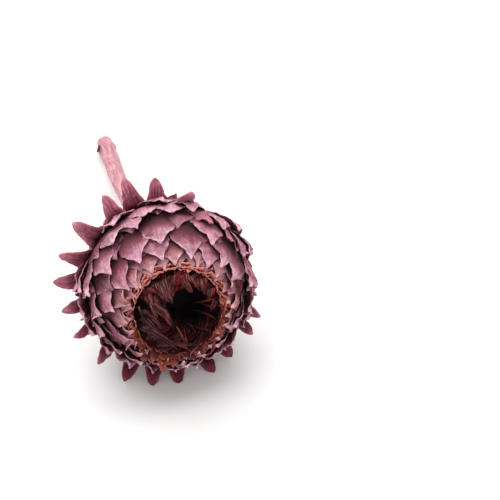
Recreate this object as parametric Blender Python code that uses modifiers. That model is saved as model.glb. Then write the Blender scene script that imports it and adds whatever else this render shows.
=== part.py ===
"""Dried artichoke flower on a cut stem, lying on its side.

The flower has four pieces: the stem, the head of overlapping bracts grown on one receptacle, the ragged
collar of papery inner bracts, and the choke, which is the nest of dry florets in the cup of the head.
The head is worked out in its own frame, with +Z along its axis towards the choke, +X to the right of
someone who faces the choke and +Y up. head_matrix() then lays it on the surface, at z = 0.
Lengths are in metres and angles in degrees. A latitude is measured from the widest part of the head.
"""

import math
import random

import bmesh
import bpy
from mathutils import Matrix, Vector

MM = 0.001
SEED = 11

# Where the flower lies: the middle of the globe, and how far its axis points up out of the surface.
# The x and y place the origin under the middle of the whole flower.
HEAD_CENTRE = Vector((5.47, -60.15, 46.0)) * MM
HEAD_RISE = 14.5
TIP_PRESS = 2.0 * MM  # how much of the lowest tips is worn flat on the surface

# The globe that the tips of the scales reach: a radius, and a height in front of and behind its middle.
GLOBE_RADIUS = 40.0 * MM
GLOBE_FRONT = 42.0 * MM
GLOBE_BACK = 33.0 * MM
GLOBE_STEP = 0.7 * MM  # length along the globe for one degree of latitude

# The receptacle: the solid heart inside the bracts, with a cup in front for the choke.
HEART_DEPTH = 2.4 * MM  # how far it lies under the globe of the tips
HEART_LATITUDES = (44, 28, 12, -6, -24, -42, -58)
BASE_LATITUDE = -72
TURNED_SIDES = 24
CUP_RADIUS = 21.4 * MM
CUP_FLOOR = 18.0 * MM
CUP_CORNER = 2.0 * MM
CUP_LIP = 29.0 * MM
CLEARANCE = 0.35 * MM  # between one piece and the next

# Stations along a bract, as shares of its length, and its half width there as a share of the greatest.
SCALE_OUTLINE = ((0.0, 0.8), (0.4, 1.0), (0.62, 0.96), (0.84, 0.42), (1.0, 0.0))
SPIKE_OUTLINE = ((0.0, 0.6), (0.26, 0.95), (0.46, 0.7), (0.66, 0.5), (0.88, 0.3), (1.0, 0.0))

# The kinds of bract, from the stem to the choke.
# first and turn: the azimuth of the first one, and the angle from each to the next
# latitude: where the tips would reach if they lay flat, for the first and the last of the kind
# held: the length that lies against the globe, for the first and the last
# free: the length of the tip that stands off it, least and most
# splay and recurve: how far a tip turns outwards where it leaves the globe, and at its end, least and most
# width and wrap: its greatest width, for the first and the last, and the radius that it is bent to across
# sink: how deep its root lies
# proud: how far the end of the held length stands over the globe, for the first and the last
GOLDEN_ANGLE = 137.508
STRAY = 1.5
LEAN = 1.5 * MM
BRACT_THICKNESS = 1.0 * MM
BASAL = dict(count=8, first=22.0, turn=GOLDEN_ANGLE, latitude=(-31, -19), held=(11 * MM, 11 * MM),
             free=(6 * MM, 8 * MM), splay=0, recurve=(22, 38), width=(13 * MM, 13 * MM), wrap=20 * MM,
             sink=6.5 * MM, proud=(0.0, 0.0), outline=SCALE_OUTLINE)
SPREADING = dict(count=22, first=90.0, turn=360 / 22, latitude=(5, 5), held=(17 * MM, 17 * MM),
                 free=(13 * MM, 15.5 * MM), splay=66, recurve=(100, 124), width=(17 * MM, 17 * MM),
                 wrap=11 * MM, sink=6.5 * MM, proud=(0.0, 0.0), outline=SPIKE_OUTLINE)
SCALES = dict(count=54, first=225.05, turn=-GOLDEN_ANGLE, latitude=(6.4, 54), held=(25 * MM, 20 * MM),
              free=(6 * MM, 8 * MM), splay=6, recurve=(10, 46), width=(21 * MM, 14.5 * MM), wrap=27 * MM,
              sink=3.0 * MM, proud=(1.9 * MM, 0.5 * MM), outline=SCALE_OUTLINE)
RIM = dict(count=16, first=88.0, turn=360 / 16, latitude=(54, 54), held=(14 * MM, 14 * MM),
           free=(3.5 * MM, 4.5 * MM), splay=0, recurve=(-10, 15), width=(12 * MM, 12 * MM), wrap=15 * MM,
           sink=3.2 * MM, proud=(0.0, 0.0), outline=SCALE_OUTLINE)
SCALE_TIP_LOSS = 0.35  # the last scale's tip stands off by this much less of its length

# Scales that dried out of line, by their place in the row: the azimuth and latitude of each.
MOVED = {
    11: (167, 16), 19: (127, 22), 22: (84, 17), 27: (108, 22), 29: (193, 35), 30: (58, 35), 32: (142, 34),
    33: (7, 33), 35: (94, 38), 38: (44, 46), 40: (117, 44), 41: (342, 34), 43: (76, 48), 45: (162, 47),
    46: (23, 47), 47: (230, 47), 48: (101, 47), 49: (341, 52), 50: (196, 54), 51: (56, 51), 53: (138, 50),
}

# Spreading bracts that grew aside of their place in the ring, by their place: by how many degrees.
ASIDE = {1: -4, 2: -3, 8: 4, 9: 5, 13: -2}

# Azimuths where the bracts dried pressed against the globe, and how strongly. Pressed ones turn outwards
# less. Spreading ones also start nearer to the choke there, and under the head, where they are longer.
PRESSED = ((-90, 0.25), (180, 0.3), (22, 1.3))
MOST_PRESSED = 0.95
PRESSED_PUSH = 22  # degrees of latitude
UNDERSIDE = -90
UNDERSIDE_PUSH = 18.5  # degrees of latitude
UNDERSIDE_LENGTH = 2.5 * MM

# Collar: a thin band in the cup, which papery scales stand on. They lean outwards to different heights.
COLLAR_SCALES = 26
COLLAR_OUTER = CUP_RADIUS - CLEARANCE
COLLAR_INNER = 19.7 * MM
COLLAR_FLOOR = CUP_FLOOR + 3 * MM
COLLAR_TOP = 28.5 * MM
PAPER_OUTLINE = ((0.0, 0.8), (0.5, 1.0), (0.85, 0.8), (1.0, 0.0))
PAPER_LENGTH = (4.5 * MM, 6.5 * MM)
PAPER_WIDTH = (4.4 * MM, 5.6 * MM)
PAPER_SPREAD = (0.6 * MM, 1.8 * MM)
PAPER_ROOT = 1.5 * MM  # how far it starts down the band
PAPER_THICKNESS = 0.8 * MM

# Choke: a thick bowl of matted florets, with the free ends of the florets combed over it to the hollow.
CHOKE_RADIUS = COLLAR_INNER - CLEARANCE
CHOKE_FLOOR = CUP_FLOOR + CLEARANCE
CHOKE_CORNER = 2.5 * MM
CHOKE_BOWL = ((0.0, 21.5 * MM), (6 * MM, 21.8 * MM), (11 * MM, 24.2 * MM), (15 * MM, 28.0 * MM))
CHOKE_EDGE = 28.6 * MM
CHOKE_RINGS = ((19, 17.4 * MM, 28.2 * MM), (17, 14.4 * MM, 27.4 * MM), (12, 10.8 * MM, 24.4 * MM))
FLORET_OUTLINE = ((0.0, 1.0), (0.35, 1.0), (0.7, 0.75), (1.0, 0.0))
FLORET_LENGTH = (9.8 * MM, 14.3 * MM)
FLORET_WIDTH = 2.6 * MM
FLORET_THICKNESS = 1.1 * MM
FLORET_ARCH = (30, 62)
HOLLOW = Vector((8.5, 1.5, 22.0)) * MM  # the deepest part of the nest
HOLLOW_SPREAD = 3.0 * MM

# Stem, from the receptacle to the cut end.
STEM_RADIUS = 4.4 * MM
STEM_REACH = 131.5 * MM
STEM_NECK_RADIUS = 8.2 * MM
STEM_NECK_LENGTH = 16.0 * MM
STEM_PULL = 48.7 * MM  # how long the line keeps to the direction that it leaves the head in
STEM_END_PULL = Vector((1.3, -36.0, 5.5)) * MM  # and how it comes to the cut end
STEM_DRIFT = -5.1 * MM  # the cut end lies a little to the left
STEM_BOW = -1.9 * MM  # and so does the middle of the stem
STEM_PRESS = 0.55 * MM  # how deep the surface wears its underside flat
STEM_RIBS = 9
RIB_HEIGHT = 0.22 * MM
CUT_ROUNDING = 0.5 * MM
STEM_STATIONS = (0, 0.015, 0.05, 0.08, 0.12, 0.18, 0.28, 0.42, 0.56, 0.7, 0.8, 0.87, 0.9, 0.922, 0.95,
                 0.985, 1)

# The leaf joint of the stem, and the stub of the dry leaf that grew there.
JOINT_PLACE = 9.0 * MM  # from the cut end
JOINT_SWELLING = 1.0 * MM
JOINT_LENGTH = 3.2 * MM
STUB_OUTLINE = ((0.0, 1.0), (0.4, 0.85), (0.75, 0.5), (1.0, 0.0))
STUB_LENGTH = 7.0 * MM
STUB_WIDTH = 5.0 * MM
STUB_THICKNESS = 1.0 * MM
STUB_AZIMUTH = 20.0  # round the stem, from its left side upwards
STUB_SPREAD = 2.2 * MM

# Space under the surface, which trims whatever presses on it.
GROUND_SIZE = Vector((0.5, 0.5, 0.1))


def mixed(pair, share):
    return pair[0] + (pair[1] - pair[0]) * share


def head_matrix():
    """Turns the head's frame into the flower's: the axis points along -Y and up by HEAD_RISE."""
    rise = math.radians(HEAD_RISE)
    right = Vector((1, 0, 0))
    up = Vector((0, math.sin(rise), math.cos(rise)))
    axis = Vector((0, -math.cos(rise), math.sin(rise)))
    turn = Matrix((right, up, axis)).transposed().to_4x4()
    return Matrix.Translation(HEAD_CENTRE) @ turn


def around(azimuth):
    """Unit vectors at an azimuth in degrees: out from the axis, and sideways round it."""
    angle = math.radians(azimuth)
    return Vector((math.cos(angle), math.sin(angle), 0)), Vector((-math.sin(angle), math.cos(angle), 0))


def globe_point(latitude, depth=0.0):
    """(radius, height) of the globe at a latitude, sunk by depth along its normal."""
    angle = math.radians(latitude)
    half = GLOBE_FRONT if latitude > 0 else GLOBE_BACK
    radius, height = GLOBE_RADIUS * math.cos(angle), half * math.sin(angle)
    return Vector((radius - depth * math.cos(angle), height - depth * math.sin(angle)))


def bract_line(bract, share):
    """Midline of a bract in the plane through the axis: (point, outward normal) at a share of its length.

    The held part climbs from the heart to the globe of the tips, along a meridian. The free part leaves
    it at the angle of the splay, along an arc that ends at the angle of the recurve.
    """
    length = bract["held"] + bract["free"]
    held_share = bract["held"] / length
    along = min(share / held_share, 1.0)
    latitude = bract["latitude"] - (1 - along) * bract["held"] / GLOBE_STEP
    depth = bract["sink"] * (1 - along) ** 1.2 - bract["proud"] * along
    point = globe_point(latitude, depth)
    angle = math.radians(latitude)
    tangent = Vector((-math.sin(angle), math.cos(angle)))
    normal = Vector((math.cos(angle), math.sin(angle)))
    if share <= held_share:
        return point, normal
    splay = math.radians(bract["splay"])
    bend = (math.radians(bract["recurve"]) - splay) * (share - held_share) / (1 - held_share)
    run = (share - held_share) * length
    chord = run if abs(bend) < 1e-6 else run * math.sin(bend / 2) / (bend / 2)
    point += chord * (math.cos(splay + bend / 2) * tangent + math.sin(splay + bend / 2) * normal)
    return point, (math.cos(splay + bend) * normal - math.sin(splay + bend) * tangent)


def blade_station(middle, sideways, normal, half, thickness, drop=0.0):
    """Corners of a blade across one station: left edge, outer keel, right edge, inner keel.

    Its edges lie drop under its middle. A station of no width is the blade's tip, one point.
    """
    if not half:
        return [middle]
    side, keel, sunk = sideways * half, normal * thickness / 2, normal * drop
    return [middle - side - sunk, middle + keel, middle + side - sunk, middle - keel]


def bract_sections(bract):
    outward, sideways = around(bract["azimuth"])
    axis = Vector((0, 0, 1))
    sections = []
    for share, wide in bract["outline"]:
        flat, flat_normal = bract_line(bract, share)
        middle = flat.x * outward + flat.y * axis + bract["lean"] * share**2 * sideways
        normal = flat_normal.x * outward + flat_normal.y * axis
        bent = bract["width"] / 2 * wide / bract["wrap"]
        half, drop = bract["wrap"] * math.sin(bent), bract["wrap"] * (1 - math.cos(bent))
        corners = blade_station(middle, sideways, normal, half, BRACT_THICKNESS, drop)
        sections.append([head_matrix() @ corner for corner in corners])
    return sections


def settled(bract):
    """The bract, bent outwards no further than until its tip presses on the surface."""
    def too_low(recurve):
        sections = bract_sections(dict(bract, recurve=recurve))
        return min(corner.z for section in sections for corner in section) < -TIP_PRESS

    if not too_low(bract["recurve"]):
        return bract
    free, pressed = 0.0, bract["recurve"]
    for _ in range(12):
        halfway = (free + pressed) / 2
        if too_low(halfway):
            pressed = halfway
        else:
            free = halfway
    return dict(bract, recurve=free)


def lobe(azimuth, side):
    """How much an azimuth faces a side: 1 towards it, 0 from a right angle away."""
    return max(math.cos(math.radians(azimuth - side)), 0) ** 2


def involucre_bracts(draw):
    """Every bract of the head, from the stem to the choke. The tips of a kind lie evenly over its band."""
    for kind in (BASAL, SPREADING, SCALES, RIM):
        ends = [math.sin(math.radians(latitude)) for latitude in kind["latitude"]]
        for place in range(kind["count"]):
            share = place / (kind["count"] - 1)
            azimuth = kind["first"] + place * kind["turn"]
            latitude = math.degrees(math.asin(mixed(ends, share)))
            if kind is SCALES:
                azimuth, latitude = MOVED.get(place, (azimuth, latitude))
            if kind is SPREADING:
                azimuth += ASIDE.get(place, 0)
            pressed = min(sum(strength * lobe(azimuth, side) for side, strength in PRESSED), MOST_PRESSED)
            free = draw.uniform(*kind["free"])
            if kind is SPREADING:
                under = lobe(azimuth, UNDERSIDE)
                latitude += PRESSED_PUSH * pressed + UNDERSIDE_PUSH * under
                free += UNDERSIDE_LENGTH * under
            if kind is SCALES:
                free *= 1 - SCALE_TIP_LOSS * share
            yield settled(dict(
                kind,
                azimuth=azimuth + draw.uniform(-STRAY, STRAY),
                latitude=latitude - free / GLOBE_STEP,
                held=mixed(kind["held"], share),
                free=free,
                width=mixed(kind["width"], share),
                proud=mixed(kind["proud"], share),
                splay=kind["splay"] * (1 - pressed),
                recurve=draw.uniform(*kind["recurve"]) * (1 - pressed),
                lean=draw.uniform(-LEAN, LEAN),
            ))


def lofted(name, sections):
    """A closed mesh through sections of four corners, that ends in a point."""
    corners = [corner for section in sections for corner in section]
    faces = [(3, 2, 1, 0)]
    rings = len(sections) - 1
    for ring in range(rings - 1):
        for side in range(4):
            a, b = 4 * ring + side, 4 * ring + (side + 1) % 4
            # Each quad is cut from its keel, so that both faces of the blade fold alike.
            if side % 2:
                faces += [(a, b, a + 4), (b, b + 4, a + 4)]
            else:
                faces += [(a, b, b + 4), (a, b + 4, a + 4)]
    tip, last = 4 * rings, 4 * (rings - 1)
    faces += [(last + side, last + (side + 1) % 4, tip) for side in range(4)]
    mesh = bpy.data.meshes.new(name)
    mesh.from_pydata(corners, [], faces)
    shape = bmesh.new()
    shape.from_mesh(mesh)
    bmesh.ops.recalc_face_normals(shape, faces=shape.faces)
    shape.to_mesh(mesh)
    shape.free()
    return bpy.data.objects.new(name, mesh)


def turned(name, profile, ring=False):
    """A solid turned from a profile of (radius, height), which runs down its outer side. A ring's closes."""
    mesh = bpy.data.meshes.new(name)
    edges = [(i, i + 1) for i in range(len(profile) - 1)]
    if ring:
        edges.append((len(profile) - 1, 0))
    mesh.from_pydata([(radius, 0, height) for radius, height in profile], edges, [])
    solid = bpy.data.objects.new(name, mesh)
    screw = solid.modifiers.new("turn", "SCREW")
    screw.steps = screw.render_steps = TURNED_SIDES
    screw.use_merge_vertices = True
    screw.merge_threshold = 0.1 * MM
    solid.matrix_world = head_matrix()
    return solid


def mesh_copy(source, name, weld=0.0):
    """The evaluated shape of an object as a plain mesh object. A curve's loose caps are welded on."""
    bpy.context.view_layer.update()
    graph = bpy.context.evaluated_depsgraph_get()
    mesh = bpy.data.meshes.new_from_object(source.evaluated_get(graph))
    if weld:
        shape = bmesh.new()
        shape.from_mesh(mesh)
        bmesh.ops.remove_doubles(shape, verts=shape.verts, dist=weld)
        bmesh.ops.recalc_face_normals(shape, faces=shape.faces)
        shape.to_mesh(mesh)
        shape.free()
    mesh.materials.clear()
    mesh.transform(source.matrix_world)
    return bpy.data.objects.new(name, mesh)


def grown_together(core, blades, name, ground):
    """Core and blades as one solid, trimmed where they press on the surface."""
    scene = bpy.context.scene.collection
    scene.objects.link(core)
    group = bpy.data.collections.new(name + "_blades")
    scene.children.link(group)
    for blade in blades:
        group.objects.link(blade)
    join = core.modifiers.new("join", "BOOLEAN")
    join.operation = "UNION"
    join.operand_type = "COLLECTION"
    join.collection = group
    trim = core.modifiers.new("trim", "BOOLEAN")
    trim.operation = "DIFFERENCE"
    trim.object = ground
    solid = mesh_copy(core, name)
    for helper in [core, *group.objects]:
        bpy.data.objects.remove(helper)
    bpy.data.collections.remove(group)
    return solid


def pockets_filled(solid):
    """The solid without the pockets that its blades closed off: only its largest shell is kept."""
    shape = bmesh.new()
    shape.from_mesh(solid.data)
    unseen, shells = set(shape.verts), []
    while unseen:
        front = [unseen.pop()]
        shells.append([])
        while front:
            vertex = front.pop()
            shells[-1].append(vertex)
            near = {edge.other_vert(vertex) for edge in vertex.link_edges} & unseen
            unseen -= near
            front += near
    shells.sort(key=len)
    bmesh.ops.delete(shape, geom=[vertex for shell in shells[:-1] for vertex in shell], context="VERTS")
    shape.to_mesh(solid.data)
    shape.free()
    return solid


def build_ground():
    bpy.ops.mesh.primitive_cube_add(size=1, location=(0, 0, -GROUND_SIZE.z / 2))
    cutter = bpy.context.object
    cutter.name = "space_under_surface"
    cutter.scale = GROUND_SIZE
    cutter.hide_render = True
    cutter.display_type = "WIRE"
    return cutter


def build_head(draw, ground):
    """The receptacle is turned from the cup's floor, over its lip and down to the base that the stem meets."""
    profile = [(0, CUP_FLOOR), (CUP_RADIUS - CUP_CORNER, CUP_FLOOR), (CUP_RADIUS, CUP_FLOOR + CUP_CORNER)]
    profile.append((CUP_RADIUS, CUP_LIP))
    profile += [tuple(globe_point(latitude, HEART_DEPTH)) for latitude in (*HEART_LATITUDES, BASE_LATITUDE)]
    profile.append((0, profile[-1][1]))
    core = turned("receptacle", profile)
    blades = [lofted(f"bract_{index:03d}", bract_sections(bract))
              for index, bract in enumerate(involucre_bracts(draw))]
    return pockets_filled(grown_together(core, blades, "bract_head", ground))


def build_collar(draw, ground):
    band = [(COLLAR_INNER, COLLAR_FLOOR), (COLLAR_INNER, COLLAR_TOP),
            (COLLAR_OUTER, COLLAR_TOP), (COLLAR_OUTER, COLLAR_FLOOR)]
    core = turned("collar_band", band, ring=True)
    blades = []
    for index in range(COLLAR_SCALES):
        outward, sideways = around((index + draw.uniform(-0.2, 0.2)) * 360 / COLLAR_SCALES)
        length, spread = draw.uniform(*PAPER_LENGTH), draw.uniform(*PAPER_SPREAD)
        width = draw.uniform(*PAPER_WIDTH)
        sections = []
        for share, wide in PAPER_OUTLINE:
            middle = outward * ((COLLAR_INNER + COLLAR_OUTER) / 2 + spread * share**2)
            middle += Vector((0, 0, COLLAR_TOP - PAPER_ROOT + length * share))
            corners = blade_station(middle, sideways, outward, width / 2 * wide, PAPER_THICKNESS)
            sections.append([head_matrix() @ corner for corner in corners])
        blades.append(lofted(f"paper_{index:02d}", sections))
    return grown_together(core, blades, "papery_collar", ground)


def floret_sections(root, target, length, arch):
    """A floret's free end: it rises from its root and bends over towards the hollow."""
    forwards = Vector((target.x - root.x, target.y - root.y, 0)).normalized()
    sideways = Vector((-forwards.y, forwards.x, 0))
    up = Vector((0, 0, 1))
    sections = []
    for share, wide in FLORET_OUTLINE:
        height = 0.45 * math.sin(math.radians(arch) * (1 - 1.7 * share))
        middle = root + length * share * (forwards + height * up)
        middle.z = max(middle.z, HOLLOW.z + FLORET_THICKNESS / 2)
        corners = blade_station(middle, sideways, up, FLORET_WIDTH / 2 * wide, FLORET_THICKNESS)
        sections.append([head_matrix() @ corner for corner in corners])
    return sections


def build_choke(draw, ground):
    profile = [*CHOKE_BOWL, (CHOKE_RADIUS, CHOKE_EDGE), (CHOKE_RADIUS, CHOKE_FLOOR + CHOKE_CORNER),
               (CHOKE_RADIUS - CHOKE_CORNER, CHOKE_FLOOR), (0, CHOKE_FLOOR)]
    core = turned("floret_mat", profile)
    blades = []
    for count, radius, height in CHOKE_RINGS:
        for index in range(count):
            outward, _ = around((index + draw.uniform(-0.25, 0.25)) * 360 / count)
            root = outward * radius + Vector((0, 0, height))
            target = HOLLOW + HOLLOW_SPREAD * Vector((draw.uniform(-1, 1), draw.uniform(-1, 1), 0))
            length = min(draw.uniform(*FLORET_LENGTH), (target - root).length)
            sections = floret_sections(root, target, length, draw.uniform(*FLORET_ARCH))
            blades.append(lofted(f"floret_{len(blades):02d}", sections))
    return grown_together(core, blades, "choke", ground)


def stem_place(share):
    """A point on the stem's middle line, from the receptacle at 0 to the cut end at 1.

    The line is a Bezier curve that leaves the receptacle along the head's axis and comes down to lie on
    the surface at the cut end.
    """
    to_row = head_matrix()
    start = to_row @ Vector((0, 0, globe_point(BASE_LATITUDE, HEART_DEPTH).y - CLEARANCE))
    end = Vector((start.x + STEM_DRIFT, start.y + STEM_REACH, STEM_RADIUS - STEM_PRESS))
    near = start - to_row.to_3x3() @ Vector((0, 0, STEM_PULL))
    far = end + STEM_END_PULL
    rest = 1 - share
    bow = Vector((STEM_BOW * math.sin(math.pi * share) ** 2, 0, 0))
    return rest**3 * start + 3 * rest**2 * share * near + 3 * rest * share**2 * far + share**3 * end + bow


def stem_radius(share):
    """The stem's radius: a bell-shaped neck at the receptacle, a swelling at the leaf joint, a rounded cut."""
    neck = math.exp(-((share * STEM_REACH / STEM_NECK_LENGTH) ** 2))
    joint = math.exp(-((((1 - share) * STEM_REACH - JOINT_PLACE) / JOINT_LENGTH) ** 2))
    cut = CUT_ROUNDING if share == 1 else 0
    return STEM_RADIUS + (STEM_NECK_RADIUS - STEM_RADIUS) * neck + JOINT_SWELLING * joint - cut


def leaf_stub():
    """A short dry blade that grows on the leaf joint and points along the stem, towards the head."""
    share = 1 - JOINT_PLACE / STEM_REACH
    along = (stem_place(share) - stem_place(1)).normalized()
    right = Vector((0, 0, 1)).cross(along).normalized()
    angle = math.radians(STUB_AZIMUTH)
    outward = math.sin(angle) * along.cross(right) - math.cos(angle) * right
    sections = []
    for place, wide in STUB_OUTLINE:
        rise = stem_radius(share) - STUB_THICKNESS + STUB_SPREAD * place
        middle = stem_place(share) + along * STUB_LENGTH * (place - 0.3) + outward * rise
        sections.append(blade_station(middle, along.cross(outward), outward, STUB_WIDTH / 2 * wide,
                                      STUB_THICKNESS))
    return lofted("leaf_stub", sections)


def build_stem(ground):
    """A ribbed outline swept along the stem's middle line, with the leaf stub grown on it."""
    section = bpy.data.curves.new("stem_section", "CURVE")
    section.dimensions = "2D"
    outline = section.splines.new("POLY")
    outline.points.add(2 * STEM_RIBS - 1)
    for index, point in enumerate(outline.points):
        angle = index * math.pi / STEM_RIBS
        radius = 1 + (RIB_HEIGHT if index % 2 else -RIB_HEIGHT) / STEM_RADIUS
        point.co = (radius * math.cos(angle), radius * math.sin(angle), 0, 1)
    outline.use_cyclic_u = True
    path = bpy.data.curves.new("stem_path", "CURVE")
    path.dimensions = "3D"
    path.bevel_mode = "OBJECT"
    path.bevel_object = bpy.data.objects.new("stem_section", section)
    path.use_fill_caps = True
    line = path.splines.new("POLY")
    line.points.add(len(STEM_STATIONS) - 1)
    for point, share in zip(line.points, STEM_STATIONS):
        point.co = (*stem_place(share), 1)
        point.radius = stem_radius(share)
    curve = bpy.data.objects.new("stem_path", path)
    for helper in (curve, path.bevel_object):
        bpy.context.scene.collection.objects.link(helper)
    core = mesh_copy(curve, "stem_core", weld=0.01 * MM)
    bpy.data.objects.remove(path.bevel_object)
    bpy.data.objects.remove(curve)
    return grown_together(core, [leaf_stub()], "stem", ground)


def finished(piece, colour, roughness):
    """A piece with its own material, shaded smooth except where it folds."""
    finish = bpy.data.materials.new(piece.name)
    finish.use_nodes = True
    shader = finish.node_tree.nodes["Principled BSDF"]
    shader.inputs["Base Color"].default_value = (*colour, 1)
    shader.inputs["Roughness"].default_value = roughness
    shader.inputs["Metallic"].default_value = 0
    piece.data.materials.append(finish)
    piece.data.shade_smooth()
    piece.data.set_sharp_from_angle(angle=math.radians(35))
    return piece


def main():
    for old in list(bpy.data.objects):
        bpy.data.objects.remove(old)
    flower = bpy.data.collections.new("artichoke_flower")
    cutters = bpy.data.collections.new("cutters")
    bpy.context.scene.collection.children.link(flower)
    bpy.context.scene.collection.children.link(cutters)
    ground = build_ground()
    draw = random.Random(SEED)
    flower.objects.link(finished(build_head(draw, ground), (0.30, 0.11, 0.13), 0.7))
    flower.objects.link(finished(build_collar(draw, ground), (0.30, 0.08, 0.04), 0.75))
    flower.objects.link(finished(build_choke(draw, ground), (0.03, 0.008, 0.008), 0.6))
    flower.objects.link(finished(build_stem(ground), (0.62, 0.27, 0.27), 0.65))
    for owner in list(ground.users_collection):
        owner.objects.unlink(ground)
    cutters.objects.link(ground)


main()
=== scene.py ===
# %% [markdown]
# # A dried artichoke flower
# A ripe artichoke is a thistle: a ball of leathery scales, called bracts, around a nest of florets. This
# one was dyed a dusty wine red, dried and cut with a length of stem, and it lies on its side on a table.
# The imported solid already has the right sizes. Here each of its four pieces gets a finer surface that
# stands in the same place, so the first step is to load that solid and keep its box.

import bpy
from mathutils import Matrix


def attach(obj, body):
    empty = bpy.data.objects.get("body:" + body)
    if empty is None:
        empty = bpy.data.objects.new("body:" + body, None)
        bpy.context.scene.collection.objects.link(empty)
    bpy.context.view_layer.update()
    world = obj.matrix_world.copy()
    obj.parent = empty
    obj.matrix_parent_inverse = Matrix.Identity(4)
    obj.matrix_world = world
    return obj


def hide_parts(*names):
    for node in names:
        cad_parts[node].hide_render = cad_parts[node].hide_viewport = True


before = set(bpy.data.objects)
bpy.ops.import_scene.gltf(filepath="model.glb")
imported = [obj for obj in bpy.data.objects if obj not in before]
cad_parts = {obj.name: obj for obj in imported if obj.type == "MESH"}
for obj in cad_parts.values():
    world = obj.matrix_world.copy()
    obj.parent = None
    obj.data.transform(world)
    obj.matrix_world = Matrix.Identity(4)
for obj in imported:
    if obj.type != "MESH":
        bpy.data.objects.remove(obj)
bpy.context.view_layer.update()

# %% [markdown]
# Everything is worked out in millimetres in the head's own frame: +Z is the head's axis towards the choke,
# +X is its right side and +Y is its top. One matrix lays the head on the table. It has to be the same as
# the solid's, because a piece that replaces a solid stays where the solid is.

# %% The head's frame
import math
import random

import bpy
import numpy as np
from mathutils import Matrix, Vector

MM = 0.001
HEAD_CENTRE = np.array([5.47, -60.15, 46.0])
HEAD_RISE = math.radians(14.5)
RIGHT = np.array([1.0, 0.0, 0.0])
UP = np.array([0.0, math.sin(HEAD_RISE), math.cos(HEAD_RISE)])
AXIS = np.array([0.0, -math.cos(HEAD_RISE), math.sin(HEAD_RISE)])
TURN = np.array([RIGHT, UP, AXIS])

def laid(points):
    """Points of the head's frame in the row frame, both in mm: x, y and z times RIGHT, UP and AXIS."""
    return points @ TURN + HEAD_CENTRE

print("the choke looks along", AXIS.round(3))

# %% [markdown]
# Two small tools serve every piece. The first draws a smooth curve through a few known values, so that an
# outline can be typed as a handful of pairs. The second is a ripple: a sum of sine waves with random
# headings, which is how dry, shrunken tissue looks. Both take and give whole arrays.

# %% Curves and ripples
chance = np.random.default_rng(4)

def ramp(value, start, run):
    """0 up to the start and 1 after the run, straight in between: (value - start) over the run."""
    return np.clip((value - start) / run, 0, 1)

def through(pairs, share):
    """A smooth curve through (share, value) pairs: cubic pieces, each slope the mean of its neighbours'."""
    places, values = np.array(pairs, float).T
    steps = np.diff(values) / np.diff(places)
    slopes = np.concatenate([steps[:1], (steps[1:] + steps[:-1]) / 2, steps[-1:]])
    at = np.clip(np.searchsorted(places, share, "right") - 1, 0, len(places) - 2)
    width = places[at + 1] - places[at]
    t = ramp(share, places[at], width)
    return ((2 * t**3 - 3 * t**2 + 1) * values[at] + (t**3 - 2 * t**2 + t) * width * slopes[at]
            + (3 * t**2 - 2 * t**3) * values[at + 1] + (t**3 - t**2) * width * slopes[at + 1])

def ripple(across, along, waves, finest):
    """Each blade's own sum of sine waves over (across, along) in mm: up to `finest` a mm, about 1 high."""
    shape = (across.shape[0],) + (1,) * (across.ndim - 1)
    total = 0
    for _ in range(waves):
        heading, phase = chance.uniform(0, 2 * np.pi, (2, *shape))
        pace = 2 * np.pi * finest * chance.uniform(0.35, 1, shape)
        total = total + np.sin(pace * (across * np.cos(heading) + along * np.sin(heading)) + phase)
    return total * math.sqrt(2 / waves) / 1.5

def drawn(count, low, high):
    """A random number for each blade, as an array of (blade, 1, 1)."""
    return chance.uniform(low, high, (count, 1, 1))


def grid(rows, columns):
    """The share of a blade's length, 0 to 1, and the side, -1 to 1, as arrays of (1, row, column)."""
    return np.linspace(0, 1, rows)[None, :, None], np.linspace(-1, 1, columns)[None, None, :]


print("halfway up a bump:", through(((0, 0), (0.5, 1), (1, 0)), np.array([0.25])).round(3))

# %% [markdown]
# A blade is a thin closed shell: an outer face, an inner face and an edge between them. All blades of one
# kind have the same grid, so one function can turn arrays of their middle surfaces into a single mesh. It
# also writes a UV map in millimetres and a few values per vertex, which the materials read later.

# %% Blades into one mesh
def into_mesh(name, points, faces, uv, values):
    """A mesh object at the origin from points in row-frame mm, face corners, and values per vertex."""
    mesh = bpy.data.meshes.new(name)
    mesh.from_pydata(points * MM, [], faces)
    if uv is not None:
        corners = np.empty(len(mesh.loops), np.int32)
        mesh.loops.foreach_get("vertex_index", corners)
        mesh.uv_layers.new(name="UVMap").data.foreach_set("uv", uv[corners].astype(np.float32).ravel())
    for key, value in values.items():
        mesh.attributes.new(key, "FLOAT", "POINT").data.foreach_set("value", value.astype(np.float32).ravel())
    mesh.shade_smooth()
    piece = bpy.data.objects.new(name, mesh)
    bpy.context.scene.collection.objects.link(piece)
    return piece

def enclosed(points, triangles):
    """Volume inside a closed mesh: a sixth of the summed triple products of its triangles' corners."""
    a, b, c = (points[triangles[:, k]] for k in range(3))
    return np.einsum("ij,ij->", a, np.cross(b, c)) / 6

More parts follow.
